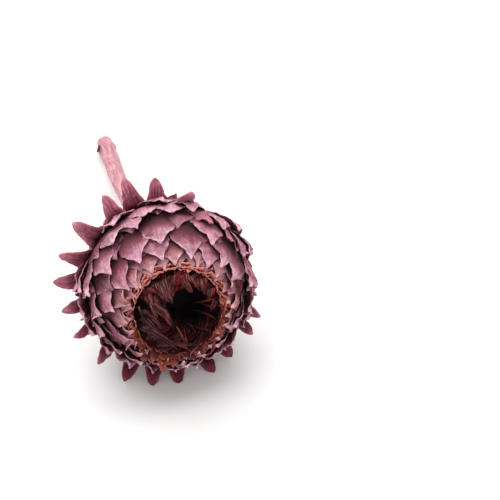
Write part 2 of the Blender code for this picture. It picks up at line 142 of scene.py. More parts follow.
def tubes(name, rings, uv=None, values=None, hoop=False):
    """A mesh of many closed tubes. rings is (tube, ring, corner, xyz): each ring is joined to the next with
    quads. Each end ring is joined to its own mean point, or both to each other to make a hoop. Faces are
    turned outwards by the volume's sign."""
    n, rows, sides, _ = rings.shape

    def with_ends(array):
        flat, ends = array.reshape(n * rows * sides, -1), array[:, [0, -1]].mean(2).reshape(2 * n, -1)
        return flat if hoop else np.concatenate([flat, ends])

    points = with_ends(rings)
    first = np.arange(n)[:, None, None] * rows * sides
    row, side = np.arange(rows if hoop else rows - 1)[None, :, None], np.arange(sides)[None, None, :]
    a, b = first + row * sides + side, first + row * sides + (side + 1) % sides
    onward = ((row + 1) % rows - row) * sides
    quads = np.stack([a, b, b + onward, a + onward], -1).reshape(-1, 4)
    caps = np.zeros((0, 3), int)
    if not hoop:
        start, end, last = a[:, 0], b[:, 0], (rows - 1) * sides
        base = n * rows * sides + 2 * np.arange(n)[:, None] + 0 * start
        caps = np.concatenate([np.stack([end, start, base], -1).reshape(-1, 3),
                               np.stack([start + last, end + last, base + 1], -1).reshape(-1, 3)])
    triangles = np.concatenate([quads[:, :3], quads[:, [0, 2, 3]], caps])
    if enclosed(points, triangles) < 0:
        quads, caps = quads[:, ::-1], caps[:, ::-1]
    values = {key: with_ends(np.broadcast_to(value, rings.shape[:3]))
              for key, value in (values or {}).items()}
    uv = np.zeros((len(points), 2)) if uv is None else with_ends(uv)
    piece = into_mesh(name, points, quads.tolist() + caps.tolist(), None if hoop else uv, values)
    print(f"{name}: {n} shells, {len(triangles)} triangles")
    return piece

# %% [markdown]
# Most bracts follow one another round the head by the golden angle, 137.5 degrees, as leaves do on most
# plants. From the stem to the choke there are small basal ones, the long spreading ones that ring the head
# like a sun, the broad scales, and two rows of short ones at the rim of the cup. Base bracts cover the back
# of the head, and an under layer lies close to the heart below the scales. Some scales dried a little out
# of line, and those have their own places. The first four kinds, in this order of random draws, are those
# of the solid, so each fine bract grows where the plain one does.

# %% Where the bracts grow
GLOBE_RADIUS, GLOBE_FRONT, GLOBE_BACK = 40.0, 42.0, 33.0
GLOBE_STEP = 0.7  # mm along the globe for a degree of latitude
GOLDEN_ANGLE, STRAY, LEAN = 137.508, 1.5, 1.5
PRESSED_SIDES = ((-90, 0.25), (180, 0.3), (22, 1.3))  # azimuths where bracts dried pressed, and how strongly
MOST_PRESSED = 0.95
PRESSED_RISE, UNDER_RISE = 22, 18.5  # degrees that pressed spreading bracts and those beneath start higher
UNDERSIDE = -90
TIP_PRESS = 2.0  # mm that a tip may reach under the table before it is bent back
RIM_DROP = 4.0  # degrees by which the last rows end lower above and below the oval opening
# Each kind: azimuth of the first and turn to the next; latitude of the tips; mm held on the globe and free;
# degrees that the free part starts outwards (splay) and ends outwards (recurve); mm wide; radius of its arc
# across (wrap); mm that the root lies under the globe (sink) and the end of the held part over it (proud).
KINDS = dict(
    basal=dict(count=8, first=22.0, turn=GOLDEN_ANGLE, latitude=(-31, -19), held=(11, 11), free=(6, 8),
               splay=0, recurve=(22, 38), width=(13, 13), wrap=20, sink=6.5, proud=(0.0, 0.0)),
    spreading=dict(count=22, first=90.0, turn=360 / 22, latitude=(5, 5), held=(17, 17), free=(13, 15.5),
                   splay=66, recurve=(100, 124), width=(17, 17), wrap=11, sink=6.5, proud=(0.0, 0.0)),
    scales=dict(count=54, first=225.05, turn=-GOLDEN_ANGLE, latitude=(6.4, 54), held=(25, 20), free=(6, 8),
                splay=6, recurve=(10, 46), width=(21, 14.5), wrap=27, sink=3.0, proud=(1.9, 0.5)),
    rim=dict(count=16, first=88.0, turn=360 / 16, latitude=(54, 54), held=(14, 14), free=(3.5, 4.5),
             splay=0, recurve=(-10, 15), width=(12, 12), wrap=15, sink=3.2, proud=(0.0, 0.0)),
    inner=dict(count=23, first=99.0, turn=360 / 23, latitude=(54.5, 54.5), held=(12, 12), free=(2.5, 3.5),
               splay=0, recurve=(-10, 30), width=(11, 11), wrap=13, sink=3.2, proud=(-1.6, -1.6)),
    base=dict(count=38, first=10.0, turn=GOLDEN_ANGLE, latitude=(-52, -13), held=(16, 15), free=(4.5, 6.5),
              splay=0, recurve=(4, 24), width=(14, 18), wrap=20, sink=2.3, proud=(0.4, -0.5)),
    under=dict(count=34, first=40.0, turn=GOLDEN_ANGLE, latitude=(4, 46), held=(20, 18), free=(3, 4),
               splay=0, recurve=(-6, 8), width=(20, 16), wrap=36, sink=2.2, proud=(-1.1, -1.1)),
)
ASIDE = {1: -4, 2: -3, 8: 4, 9: 5, 13: -2}  # degrees that some spreading bracts grew aside
MOVED = {  # scales that dried out of line: azimuth and latitude
    11: (167, 16), 19: (127, 22), 22: (84, 17), 27: (108, 22), 29: (193, 35), 30: (58, 35), 32: (142, 34),
    33: (7, 33), 35: (94, 38), 38: (44, 46), 40: (117, 44), 41: (342, 34), 43: (76, 48), 45: (162, 47),
    46: (23, 47), 47: (230, 47), 48: (101, 47), 49: (341, 52), 50: (196, 54), 51: (56, 51), 53: (138, 50)}

def facing(azimuth, side):
    """How much an azimuth faces a side, 0 to 1: the square of the cosine between them, 0 behind."""
    return max(math.cos(math.radians(azimuth - side)), 0) ** 2

def grown():
    """The bracts of each kind as columns of numbers. Tips of one kind lie evenly over its band of the globe:
    the sine of the latitude goes up in equal steps. Pressed ones turn outwards less."""
    draw, beds = random.Random(11), {}
    for name, kind in KINDS.items():
        rows = []
        low, high = (math.sin(math.radians(latitude)) for latitude in kind["latitude"])
        for place in range(kind["count"]):
            share = place / max(kind["count"] - 1, 1)
            azimuth = kind["first"] + place * kind["turn"]
            latitude = math.degrees(math.asin(low + (high - low) * share))
            if name == "scales" and place in MOVED:
                azimuth, latitude = MOVED[place]
            if name == "spreading":
                azimuth += ASIDE.get(place, 0)
            pressed = sum(strength * facing(azimuth, side) for side, strength in PRESSED_SIDES)
            pressed, under = min(pressed, MOST_PRESSED), 0
            if name == "spreading":
                under = facing(azimuth, UNDERSIDE)
                latitude += PRESSED_RISE * pressed + UNDER_RISE * under
            if name in ("rim", "inner"):
                latitude -= RIM_DROP * math.sin(math.radians(azimuth)) ** 2
            mixed = [kind[key][0] + (kind[key][1] - kind[key][0]) * share
                     for key in ("width", "held", "proud")]
            free = draw.uniform(*kind["free"]) * (1 - 0.35 * share * (name == "scales")) + 2.5 * under
            rows.append((azimuth + draw.uniform(-STRAY, STRAY), latitude - free / GLOBE_STEP, free, *mixed,
                         math.radians(kind["splay"]) * (1 - pressed),
                         math.radians(draw.uniform(*kind["recurve"])) * (1 - pressed),
                         draw.uniform(-LEAN, LEAN), pressed))
        names = "azimuth latitude free width held proud splay recurve lean pressed".split()
        beds[name] = dict(zip(names, np.array(rows).T[:, :, None]))
        beds[name].update({key: kind[key] for key in ("wrap", "sink")})
    return beds

bracts = grown()
print("bracts:", {name: len(bed["azimuth"]) for name, bed in bracts.items()})

# %% [markdown]
# Seen from the side, a bract is a line that climbs along the globe and then leaves it: scales lift their
# tips a little, the spreading ones turn right back. The sharp corner between the two parts is rounded by
# averaging each point of the line with its neighbours a few times.

# %% The line of a bract
def unit(vectors):
    """The same directions, one long: vectors over their lengths."""
    return vectors / np.maximum(np.linalg.norm(vectors, axis=-1, keepdims=True), 1e-9)

def side_line(bed, share, rounding=0):
    """(radius, height) and the outward normal along each bract, as (bract, station) arrays. The held part
    climbs to the globe along a meridian; the free part is an arc, whose chord is its length times sin(x) / x
    for half its bend."""
    length = bed["held"] + bed["free"]
    held_share = bed["held"] / length
    along = np.minimum(share / held_share, 1)
    latitude = np.radians(bed["latitude"] - (1 - along) * bed["held"] / GLOBE_STEP)
    depth = bed["sink"] * (1 - along) ** 1.2 - bed["proud"] * along
    half = np.where(latitude > 0, GLOBE_FRONT, GLOBE_BACK)
    radius = (GLOBE_RADIUS - depth) * np.cos(latitude)
    height = (half - depth) * np.sin(latitude)
    bend = (bed["recurve"] - bed["splay"]) * ramp(share, held_share, 1 - held_share)
    run = np.maximum(share - held_share, 0) * length
    chord, heading = run * np.sinc(bend / (2 * np.pi)), bed["splay"] + bend / 2
    radius = radius + chord * (np.sin(heading) * np.cos(latitude) - np.cos(heading) * np.sin(latitude))
    height = height + chord * (np.sin(heading) * np.sin(latitude) + np.cos(heading) * np.cos(latitude))
    line = np.stack([radius, height], -1)
    for _ in range(rounding):
        line[:, 1:-1] = (line[:, :-2] + 2 * line[:, 1:-1] + line[:, 2:]) / 4
    climb = unit(np.gradient(line, axis=1))
    return line, np.stack([climb[..., 1], -climb[..., 0]], -1)

def compass(angle):
    """Unit vectors at angles round the head: outwards from its axis, sideways round it and ahead along it."""
    return (np.stack([np.cos(angle), np.sin(angle), np.zeros_like(angle)], -1),
            np.stack([-np.sin(angle), np.cos(angle), np.zeros_like(angle)], -1), np.array([0.0, 0.0, 1.0]))

def round_the_head(bed, line, normal):
    """Turns (radius, height) arrays to each bract's azimuth: xyz of the line, of its normal and sideways."""
    outward, sideways, ahead = compass(np.radians(bed["azimuth"]))
    middle = line[..., :1] * outward + line[..., 1:] * ahead
    return middle, normal[..., :1] * outward + normal[..., 1:] * ahead, sideways

def settled(bed, outline):
    """Bends back the bracts that would reach more than TIP_PRESS under the table, by halving steps."""
    share = np.array(outline)[None, :, 0]
    half = bed["width"] / 2 * np.array(outline)[None, :, 1]

    def lowest(recurve):
        line, normal = side_line(dict(bed, recurve=recurve), share)
        middle, out, sideways = round_the_head(bed, line, normal)
        bent = half / bed["wrap"]
        middle = middle + (bed["lean"] * share**2)[..., None] * sideways
        edge = bed["wrap"] * np.sin(bent)[..., None] * sideways
        sunk = middle - bed["wrap"] * (1 - np.cos(bent))[..., None] * out
        return laid(np.concatenate([sunk - edge, sunk + edge, middle - out / 2], 1))[..., 2].min(1)

    low, high = np.zeros_like(bed["recurve"]), bed["recurve"].copy()
    too_low = lowest(high) < -TIP_PRESS
    for _ in range(12):
        halfway = (low + high) / 2
        dips = (lowest(halfway) < -TIP_PRESS)[:, None]
        low, high = np.where(dips, low, halfway), np.where(dips, halfway, high)
    return dict(bed, recurve=np.where(too_low[:, None], low, bed["recurve"]))

SCALE_CAGE = ((0.0, 0.8), (0.4, 1.0), (0.62, 0.96), (0.84, 0.42), (1.0, 0.0))
SPIKE_CAGE = ((0.0, 0.6), (0.26, 0.95), (0.46, 0.7), (0.66, 0.5), (0.88, 0.3), (1.0, 0.0))
for name, bed in bracts.items():
    bracts[name] = settled(bed, SPIKE_CAGE if name == "spreading" else SCALE_CAGE)
    print(name, "bends in degrees:", np.degrees(bracts[name]["recurve"][:6, 0]).round().astype(int))

# %% [markdown]
# Now the surface of a bract. Across, it is an arc. Its margins are wavy and torn in places, they curl up as
# the tissue dries, and the whole face is crinkled. All of it is a sum of small moves along the surface's
# own normal, which fade out at the root, where other bracts hold it flat.

# %% The surface of a bract
SOFTNESS = 0.25  # mm over which the table gradually takes up a blade that presses on it
LOWEST = 0.02  # mm above the table at least
LOOSE = (0.35, 0.4)  # from which share of its length a bract is free of the others, and over which it gets so
LOOSEST_SIDE = 190  # azimuth where the margins curl most
NIBBLES, CRINKLES, CRUMPLES = (5, 0.9), (6, 0.16), (8, 0.45)  # ripples: number of waves, finest waves a mm
CURLS, FRILLS = (3, 0.07), (5, 0.3)
EDGE_WEAR = 0.9  # mm over which the pale margin fades

def torn(share, count, notches, deepest):
    """Half width left at each side, as (bract, station, side): 1, less a few V-shaped notches."""
    whole = np.ones((count, share.shape[1], 2))
    for _ in range(notches):
        place = chance.uniform(0.5, 0.97, (count, 1, 2))
        size = deepest * chance.uniform(0, 1, (count, 1, 2)) ** 2
        reach = chance.uniform(0.02, 0.06, (count, 1, 2))
        whole -= size * np.clip(1 - np.abs(share[..., None] - place) / reach, 0, 1)
    return whole

def normals(surface):
    """Unit normals of grids of points, from the cross product of their steps over and down the grid."""
    return unit(np.cross(np.gradient(surface, axis=2), np.gradient(surface, axis=1)))

def round_ring(outer, inner, axis=2):
    """What lies on the outer face of a shell, then what lies on its inner face, in the order of a ring."""
    return np.concatenate([outer, np.flip(inner, axis)], axis)

def both_faces(shape, **values):
    """Values on each vertex of both faces of a shell. A pair is one for the outer, one for the inner face."""
    pairs = {key: value if isinstance(value, tuple) else (value, value) for key, value in values.items()}
    return {key: round_ring(np.broadcast_to(outer, shape), np.broadcast_to(inner, shape))
            for key, (outer, inner) in pairs.items()}

def shell_uv(across, along):
    """The UV map of both faces of a shell in mm: how far across the blade and how far along it."""
    return np.stack(list(both_faces(along.shape, across=across, along=along).values()), -1)

def bract_piece(name, bed, outline, look):
    """One mesh of all the bracts of a kind, from their lines, an outline and the numbers of their look."""
    count, rows, columns = len(bed["azimuth"]), look["rows"], look["columns"]
    length = bed["held"] + bed["free"]
    stations = 1 - (1 - np.linspace(0, 1, rows)[None, :]) ** 1.25  # they lie closer near the tip
    line, normal = side_line(bed, np.broadcast_to(stations, (count, rows)), look["rounding"])
    middle, out, sideways = round_the_head(bed, line, normal)
    sideways = np.broadcast_to(sideways, out.shape)
    share, side = stations[..., None], grid(rows, columns)[1]
    whole = torn(stations, count, look["notches"], look["tear"])
    whole = whole + look["nibble"] * ripple(np.zeros_like(whole), length[..., None] * share
                                            + np.array([0, 50.0]), *NIBBLES)
    halves = (bed["width"] / 2 * through(outline, stations))[..., None] * np.where(share > 0.97, 1, whole)
    half = np.where(side < 0, halves[..., :1], halves[..., 1:])
    across, along = side * half, (stations * length)[..., None] * np.ones_like(side)
    loose, pointed = ramp(share, *LOOSE), ramp(share, 0.55, 0.3)
    margin = np.abs(side) ** 3 * ramp(1 - share, 0, 0.2)
    wrap = bed["wrap"] * (1 - look["cup"] * share)
    bent = across / wrap
    lift = look["bulge"] * ramp(share, 0.45, 0.35) ** 1.5 - wrap * (1 - np.cos(bent))
    lift = lift + loose * look["crinkle"] * ripple(across, along, *CRINKLES)
    lift = lift + loose * look["crumple"] * ripple(across, along, *CRUMPLES)
    looser = np.maximum(np.cos(np.radians(bed["azimuth"] - LOOSEST_SIDE)), 0)[..., None] ** 2
    curl = drawn(count, *look["curl"]) + look["left_curl"] * looser
    lift = lift + loose**2 * margin * curl * (1 + 0.8 * ripple(side + 0 * along, along, *CURLS))
    lift = lift + loose * margin * look["frill"] * ripple(side * 3 + 0 * along, along, *FRILLS)
    lift = lift + look["keel"] * (0.5 * loose + pointed) * np.exp(-np.abs(side) / 0.3)
    lift = lift + look["beak"] * ramp(share, 0.85, 0.15) ** 2
    twist = np.radians(drawn(count, -1, 1) * look["twist"]) * loose
    shift = wrap * np.sin(bent)
    aside = (bed["lean"] * stations**2)[..., None] + shift * np.cos(twist) - lift * np.sin(twist)
    rise = shift * np.sin(twist) + lift * np.cos(twist)
    surface = middle[:, :, None] + aside[..., None] * sideways[:, :, None] + rise[..., None] * out[:, :, None]
    surface = laid(surface)
    surface[..., 2] = np.logaddexp(surface[..., 2] / SOFTNESS, 1.2) * SOFTNESS
    facing_out = normals(surface)
    facing_out *= np.sign((facing_out * (out @ TURN)[:, :, None]).sum(-1, keepdims=True))
    wall = look["thickness"] / 2 * (1 - 0.6 * margin)[..., None] * facing_out
    rings = round_ring(surface + wall, surface - wall)
    rings[..., 2] = np.maximum(rings[..., 2], LOWEST)
    rim = np.minimum((1 - np.abs(side)) * half, (1 - share) * length[..., None] * 0.5)
    values = both_faces(across.shape, edge=np.exp(-np.maximum(rim, 0) / EDGE_WEAR), tip=share,
                        inside=(0.0, 1.0), tint=drawn(count, 0, 1), pressed=bed["pressed"][..., None])
    piece = tubes(name, rings, shell_uv(across, along + 40 * np.arange(count)[:, None, None]), values)
    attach(piece, "root")
    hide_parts("bract_head")
    return piece

# %% [markdown]
# Scales are broad with a short point; their margins curl up, tear and wave. Spreading bracts are
# finger-like: broad where they leave the head, then narrow with a rounded end. The small kinds look like
# scales, but have fewer vertices and lie flatter.

# %% The kinds of bract
SCALE_OUTLINE = ((0.0, 0.8), (0.3, 0.98), (0.46, 1.0), (0.58, 0.96), (0.67, 0.83), (0.75, 0.6), (0.82, 0.38),
                 (0.89, 0.21), (0.95, 0.11), (1.0, 0.03))
SPIKE_OUTLINE = ((0.0, 0.6), (0.26, 1.0), (0.42, 0.94), (0.55, 0.77), (0.7, 0.55), (0.85, 0.38), (0.95, 0.23),
                 (1.0, 0.06))
SCALE_LOOK = dict(rows=52, columns=17, rounding=4, notches=3, tear=0.16, nibble=0.014, crinkle=0.5,
                  crumple=0.2, curl=(-0.4, 1.3), left_curl=1.4, frill=0.35, keel=0.9, beak=-0.3, twist=10,
                  thickness=0.5, cup=0.3, bulge=1.2)
SPIKE_LOOK = dict(SCALE_LOOK, rounding=8, notches=2, crinkle=0.42, crumple=0.18, curl=(-1.2, 0.2),
                  left_curl=0, frill=0.2, keel=-0.4, beak=-0.4, twist=22, thickness=0.7, cup=0, bulge=0)
COARSE_LOOK = dict(SCALE_LOOK, rows=30, columns=11)
SMALL_LOOK = dict(SCALE_LOOK, rows=36, columns=13, curl=(-0.2, 0.9))
LOOKS = dict(basal_bracts=("basal", SCALE_OUTLINE, COARSE_LOOK),
             spreading_bracts=("spreading", SPIKE_OUTLINE, SPIKE_LOOK),
             scales=("scales", SCALE_OUTLINE, SCALE_LOOK),
             rim_scales=("rim", SCALE_OUTLINE, dict(SMALL_LOOK, bulge=0.6)),
             inner_scales=("inner", SCALE_OUTLINE, dict(SMALL_LOOK, crumple=0.24, bulge=0)),
             base_bracts=("base", SCALE_OUTLINE, dict(SMALL_LOOK, bulge=0.5)))
pieces = {name: bract_piece(name, bracts[kind], outline, look)
          for name, (kind, outline, look) in LOOKS.items()}

# %% [markdown]
# Under the bracts lies the receptacle, the heart of the artichoke. It only shows as darkness between the
# scales, so a turned shape is enough: a profile of radius and height carried round the axis.

# %% The receptacle
def turned(profile, sides, finer=3):
    """Rings of a turned shape: the profile of (radius, height), cut finer, carried round the head's axis."""
    profile = np.array(profile, float)
    place = np.linspace(0, len(profile) - 1, finer * (len(profile) - 1) + 1)
    radius, height = (np.interp(place, np.arange(len(profile)), column) for column in profile.T)
    angle = np.linspace(0, 2 * np.pi, sides, endpoint=False)
    return np.stack([radius[:, None] * np.cos(angle), radius[:, None] * np.sin(angle),
                     height[:, None] + 0 * angle], -1)[None]

CUP_RADIUS, CUP_FLOOR, CUP_LIP, HEART_DEPTH, CLEARANCE = 21.4, 18.0, 29.0, 2.4, 0.35
OVAL = 1.1  # the opening dried this much taller than wide
heart_latitudes = np.radians(np.arange(44, -73, -4))  # from the lip of the cup to the stem
heart = [(0.3, CUP_FLOOR), (CUP_RADIUS - 2, CUP_FLOOR), (CUP_RADIUS, CUP_FLOOR + 2), (CUP_RADIUS, CUP_LIP)]
heart += [((GLOBE_RADIUS - HEART_DEPTH) * math.cos(a),
           ((GLOBE_FRONT if a > 0 else GLOBE_BACK) - HEART_DEPTH) * math.sin(a)) for a in heart_latitudes]
heart.append((0.3, heart[-1][1]))
heart_rings = turned(heart, 72)
cup = heart_rings[..., 2] >= CUP_FLOOR
cup &= np.hypot(heart_rings[..., 0], heart_rings[..., 1]) <= CUP_RADIUS + 0.01
heart_rings[..., 1] *= np.where(cup, OVAL, 1)
receptacle = tubes("receptacle", laid(heart_rings), heart_rings[..., :2])
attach(receptacle, "root")
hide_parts("bract_head")

# %% [markdown]
# The innermost bracts are thin as paper. They dried to a ragged, crumpled ring round the choke. First three
# ruffles: bands that stand on the wall of the cup and lean outwards. Waves of many counts round the ring
# fold them, the more the nearer to their free edge, and other waves tear that edge to uneven heights.

# %% The ruffles of the collar
PAPER = 0.16  # half the thickness of the collar's tissue in mm
PINK_SIDE = math.radians(95)  # the azimuth where the collar is pinkest
RAGS = (5, 9, 14, 23, 37, 52)  # waves a turn that tear its edge
FOLDS = ((5, 8, 12, 18), (6, 9, 14, 20), (7, 10, 15, 22))  # that fold it outwards, upwards and round the ring
CREASES = (25, 32, 41, 53)  # and that crease the folds

def round_waves(angle, counts):
    """A sum of sine waves of the given counts a turn, of random phases, about 1 high: it closes on itself."""
    total = sum(np.sin(n * angle + chance.uniform(0, 2 * np.pi)) for n in counts)
    return total * math.sqrt(2 / len(counts)) / 1.6

def creased(wave):
    """Sharp ridges and round valleys from a smooth wave: its distance from zero, taken off a constant."""
    return 0.8 - 1.6 * np.abs(wave)

def ruffle(foot, edge, crumple, samples=900, rows=12):
    """A crumpled band from its foot to its edge, both (radius, height), as rings of its cross-section."""
    angle = np.linspace(0, 2 * np.pi, samples, endpoint=False)[:, None]
    up = np.linspace(0, 1, rows)[None]
    rise = up * np.clip(0.72 + 0.34 * round_waves(angle, RAGS), 0.25, 1.2)
    folds = [creased(round_waves(angle + 0.06 * drift * up, counts))
             for drift, counts in zip((1, -1, 2), FOLDS)]
    fine = [creased(round_waves(angle + 0.15 * drift * up, CREASES)) for drift in (-1, 1)]
    radius = foot[0] + (edge[0] - foot[0]) * rise**1.3 + crumple * rise * (folds[0] + 0.3 * fine[0])
    height = foot[1] + (edge[1] - foot[1]) * np.sin(rise * np.pi / 2)
    height = height + crumple * rise * (0.35 * folds[1] + 0.15 * fine[1])
    turn = angle + crumple * rise * 0.8 * folds[2] / foot[0]
    surface = np.stack([radius * np.cos(turn), OVAL * radius * np.sin(turn), height], -1)
    wall = unit(np.cross(np.roll(surface, -1, 0) - np.roll(surface, 1, 0), np.gradient(surface, axis=1)))
    wall = (PAPER + 0.1 * up)[..., None] * wall
    up, angle = up + 0 * angle, angle + 0 * up
    # The ruffles' tint is painted shade in their folds: lower where a fold lies further in.
    values = dict(tip=round_ring(up, up, 1), tint=np.tile(0.4 + 0.6 * folds[0], 2),
                  pink=np.tile(0.42 + 0.5 * np.cos(angle - PINK_SIDE), 2))
    return (round_ring(surface + wall, surface - wall, 1),
            {key: np.clip(value, 0, 1) for key, value in values.items()})

def together(sets, join):
    """Joins the rings of several sets, and their values key by key."""
    rings, values = zip(*sets)
    return laid(join(rings)), {key: join([each[key] for each in values]) for key in values[0]}

ruffle_rings, ruffle_values = together([  # mm: radius and height of the foot, of the edge, and crumple
    ruffle((21.4, 27.4), (25.4, 31.2), 1.1),
    ruffle((20.9, 27.0), (23.6, 31.9), 1.2),
    ruffle((20.3, 26.6), (21.7, 31.0), 0.9),
], np.stack)
ruffles = tubes("collar_ruffles", ruffle_rings, None, ruffle_values, hoop=True)

# %% [markdown]
# Loose shreds stand among the ruffles. Each is a small blade that is crumpled hard, so the same kind of
# shell as a bract's serves again. They are low and pink at the top, narrow and brown at the left, and broad
# torn sheets at the lower left, so each stretch of the ring has its own sizes.

# %% The shreds of the collar
COLLAR_RADIUS, COLLAR_FOOT = 20.3, 26.7

def shreds(first, last, count, length, width, lean, crumple, pink):
    """Blades along the ring between two azimuths: from a foot on the ring, up by their length and outwards by
    their lean, crumpled by ripples that grow towards the free end."""
    azimuth = first + (np.arange(count) + chance.uniform(0.1, 0.9, count)) * (last - first) / count
    outward, sideways, ahead = compass(np.radians(azimuth)[:, None, None])
    share, side = grid(18, 13)
    length = drawn(count, *length)
    length = length * (1 + 0.3 * ripple(side + np.zeros((count, 1, 1)), 0, 3, 0.9))
    width, lean = drawn(count, *width), drawn(count, *lean)
    across = side * width / 2 * through(((0, 0.8), (0.4, 1.0), (0.75, 0.8), (1, 0.3)), share)
    along = share * length
    fold = share * crumple * (ripple(across, along, 5, 0.24) + 0.45 * ripple(across, along, 6, 0.6))
    slip = share * crumple * 0.6 * ripple(across, along, 5, 0.3)
    radius = COLLAR_RADIUS + drawn(count, -0.2, 0.7)
    surface = (outward * (radius + lean * share**1.5 + fold - across**2 / (2 * radius))[..., None]
               + sideways * (across + slip)[..., None]
               + ahead * (COLLAR_FOOT + along + 0.7 * fold)[..., None])
    surface = surface * np.array([1, OVAL, 1])
    wall = PAPER * normals(surface)
    values = both_faces(across.shape, tip=share, tint=drawn(count, 0, 1),
                        pink=np.clip(pink + drawn(count, -0.2, 0.2), 0, 1))
    return round_ring(surface + wall, surface - wall), values

flake_rings, flake_values = together([  # azimuths, number, mm long, mm wide, mm aslant, crumple, pinkness
    shreds(35, 150, 20, (2.4, 3.8), (3.0, 5.0), (1.5, 3.6), 1.0, 1.0),
    shreds(35, 150, 12, (2.6, 3.6), (2.4, 4.0), (0.0, 1.0), 0.8, 0.75),
    shreds(150, 216, 11, (4.2, 6.0), (2.6, 4.2), (0.6, 2.8), 0.7, 0.2),
    shreds(212, 264, 7, (5.0, 7.5), (4.5, 7.5), (3.5, 6.0), 0.9, 0.05),
    shreds(262, 325, 10, (3.0, 4.4), (3.0, 5.0), (1.2, 4.0), 0.8, 0.35),
    shreds(-35, 35, 14, (3.2, 4.6), (2.8, 4.6), (0.8, 3.2), 0.9, 0.42),
], np.concatenate)
flakes = tubes("collar_shreds", flake_rings, None, flake_values)
for piece in (ruffles, flakes):
    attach(piece, "root")
    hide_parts("papery_collar")

# %% [markdown]
# The choke is a mat of florets round a deep hollow that lies off centre. First the bowl: its height depends
# on how far a point lies between the hollow and the rim, on the straight line through both.

# %% The bowl of the choke
CHOKE_RADIUS, CHOKE_EDGE = 19.35, 28.6
HOLLOW = np.array([11.5, -5.0])
MAT_FOOT, MAT_BEVEL = 18.35, 2.5  # height of the mat's underside, and the bevel round it
BOWL = ((0.0, 18.9), (0.3, 19.6), (0.5, 22.4), (0.72, 26.0), (1.0, CHOKE_EDGE))

def between(x, y):
    """The share of the way from the hollow to the rim: the distance from the hollow over that of the rim in
    the same direction. With y squeezed by OVAL the rim is a circle, so a quadratic equation gives it."""
    middle = HOLLOW / np.array([1, OVAL])
    dx, dy = x - middle[0], y / OVAL - middle[1]
    away = np.maximum(np.hypot(dx, dy), 1e-6)
    ahead = (dx * middle[0] + dy * middle[1]) / away
    rim = -ahead + np.sqrt(ahead**2 + CHOKE_RADIUS**2 - middle @ middle)
    return away / rim

def bowl(x, y):
    """Height of the matted bowl under the strands."""
    return through(BOWL, np.clip(between(x, y), 0, 1))

def bowl_rings(rows=40, sides=120):
    """Rings from the hollow out to the rim, then down the wall and in along the underside."""
    share = np.linspace(0.02, 1, rows)[:, None]
    angle = np.linspace(0, 2 * np.pi, sides, endpoint=False)[None]
    rim = CHOKE_RADIUS * np.stack([np.cos(angle), OVAL * np.sin(angle)], -1)
    flat = HOLLOW + share[..., None] * (rim - HOLLOW)
    top = np.concatenate([flat, bowl(flat[..., 0], flat[..., 1])[..., None]], -1)
    foot = ((CHOKE_RADIUS, MAT_FOOT + MAT_BEVEL), (CHOKE_RADIUS - MAT_BEVEL, MAT_FOOT), (0.3, MAT_FOOT))
    under = [np.concatenate([rim[0] * radius / CHOKE_RADIUS, np.full((sides, 1), height)], -1)[None]
             for radius, height in foot]
    return np.concatenate([top, *under])[None]

mat_rings = bowl_rings()
floret_mat = tubes("floret_mat", laid(mat_rings), mat_rings[..., :2])

# %% [markdown]
# The free ends of the florets dried in flat bundles like wet feathers. Which way a bundle is combed depends
# on where it is rooted: down from the top, aslant from the left, and along the rim at the bottom. A bundle
# is a fan of strands side by side, and a strand is a thin tube of three sides: with some five hundred of
# them, each may only have a few dozen faces.

# %% Bundles of florets
COMBED = ((-30, 150), (0, 180), (45, 225), (90, 264), (120, 285), (150, 303), (180, 315), (210, 330),
          (240, 348), (270, 365), (300, 388), (330, 400))  # azimuth of the root, heading of the bundle
REACH = ((-30, 4), (0, 4), (45, 8), (90, 12), (135, 16), (180, 18), (225, 19), (270, 19), (300, 12), (330, 6))
BEND = ((-30, 0), (45, 0), (120, -12), (180, 14), (225, 38), (270, 42), (330, 40))
THINNING = np.array([1, 1, 1, 0.95, 0.85, 0.7, 0.5, 0.2])  # of a strand, from its root to its end
CLOSED = 0.85  # how far a bundle's lanes have closed up at its end
HUMP, TOUSLE = 1.3, 0.16  # mm that the middle lanes lie higher, and that strands stray up and down
OVERHANG = 0.5  # mm that a strand may reach over the rim

def bundles(count, ring, reach, width, strands, lift):
    """Bundles rooted on a ring, as middle lines of strands: each strand keeps its own lane beside the middle
    of the bundle, the lanes close up towards the end, and the whole arches over the bowl."""
    rooted = -30 + (np.arange(count) + chance.uniform(0.1, 0.9, count)) * 360 / count
    root = ring * np.stack([np.cos(np.radians(rooted)), OVAL * np.sin(np.radians(rooted))], -1)
    heading = np.radians(through(COMBED, rooted) + chance.uniform(-9, 9, count))[:, None, None]
    reach = through(REACH, rooted) * chance.uniform(*reach, count)
    share = np.linspace(0, 1, len(THINNING))[None, None, :]
    lane = (np.linspace(-1, 1, strands) + chance.uniform(-0.4, 0.4, (count, strands)) / strands)[..., None]
    spread = drawn(count, *width) / 2 * lane * (1 - CLOSED * share**2.2)
    swung = heading + np.radians(through(BEND, rooted))[:, None, None] * share
    run = reach[:, None, None] * (1 - 0.1 * np.abs(lane))
    run = run * chance.uniform(0.86, 1.0, (count, strands, 1)) * share
    x = root[:, 0, None, None] + run * np.cos(swung) - spread * np.sin(swung)
    y = root[:, 1, None, None] + run * np.sin(swung) + spread * np.cos(swung)
    kept = np.minimum(1, (CHOKE_RADIUS + OVERHANG) / np.maximum(np.hypot(x, y / OVAL), 1e-6))
    x, y = x * kept, y * kept
    arch = drawn(count, *lift) * np.sin(np.pi * np.clip(share * 0.8 + 0.12, 0, 1))
    hump = HUMP * (1 - lane**2) * (1 - 0.7 * share)
    z = bowl(x, y) + 0.3 + arch + hump + TOUSLE * chance.standard_normal((count, strands, 1))
    tint = chance.uniform(0, 1, (2, count))[1]  # the second of two draws: the first is not needed
    line = np.stack([x, y, z], -1).reshape(-1, len(THINNING), 3)
    return line, np.repeat(tint, strands), np.repeat(rooted, strands)

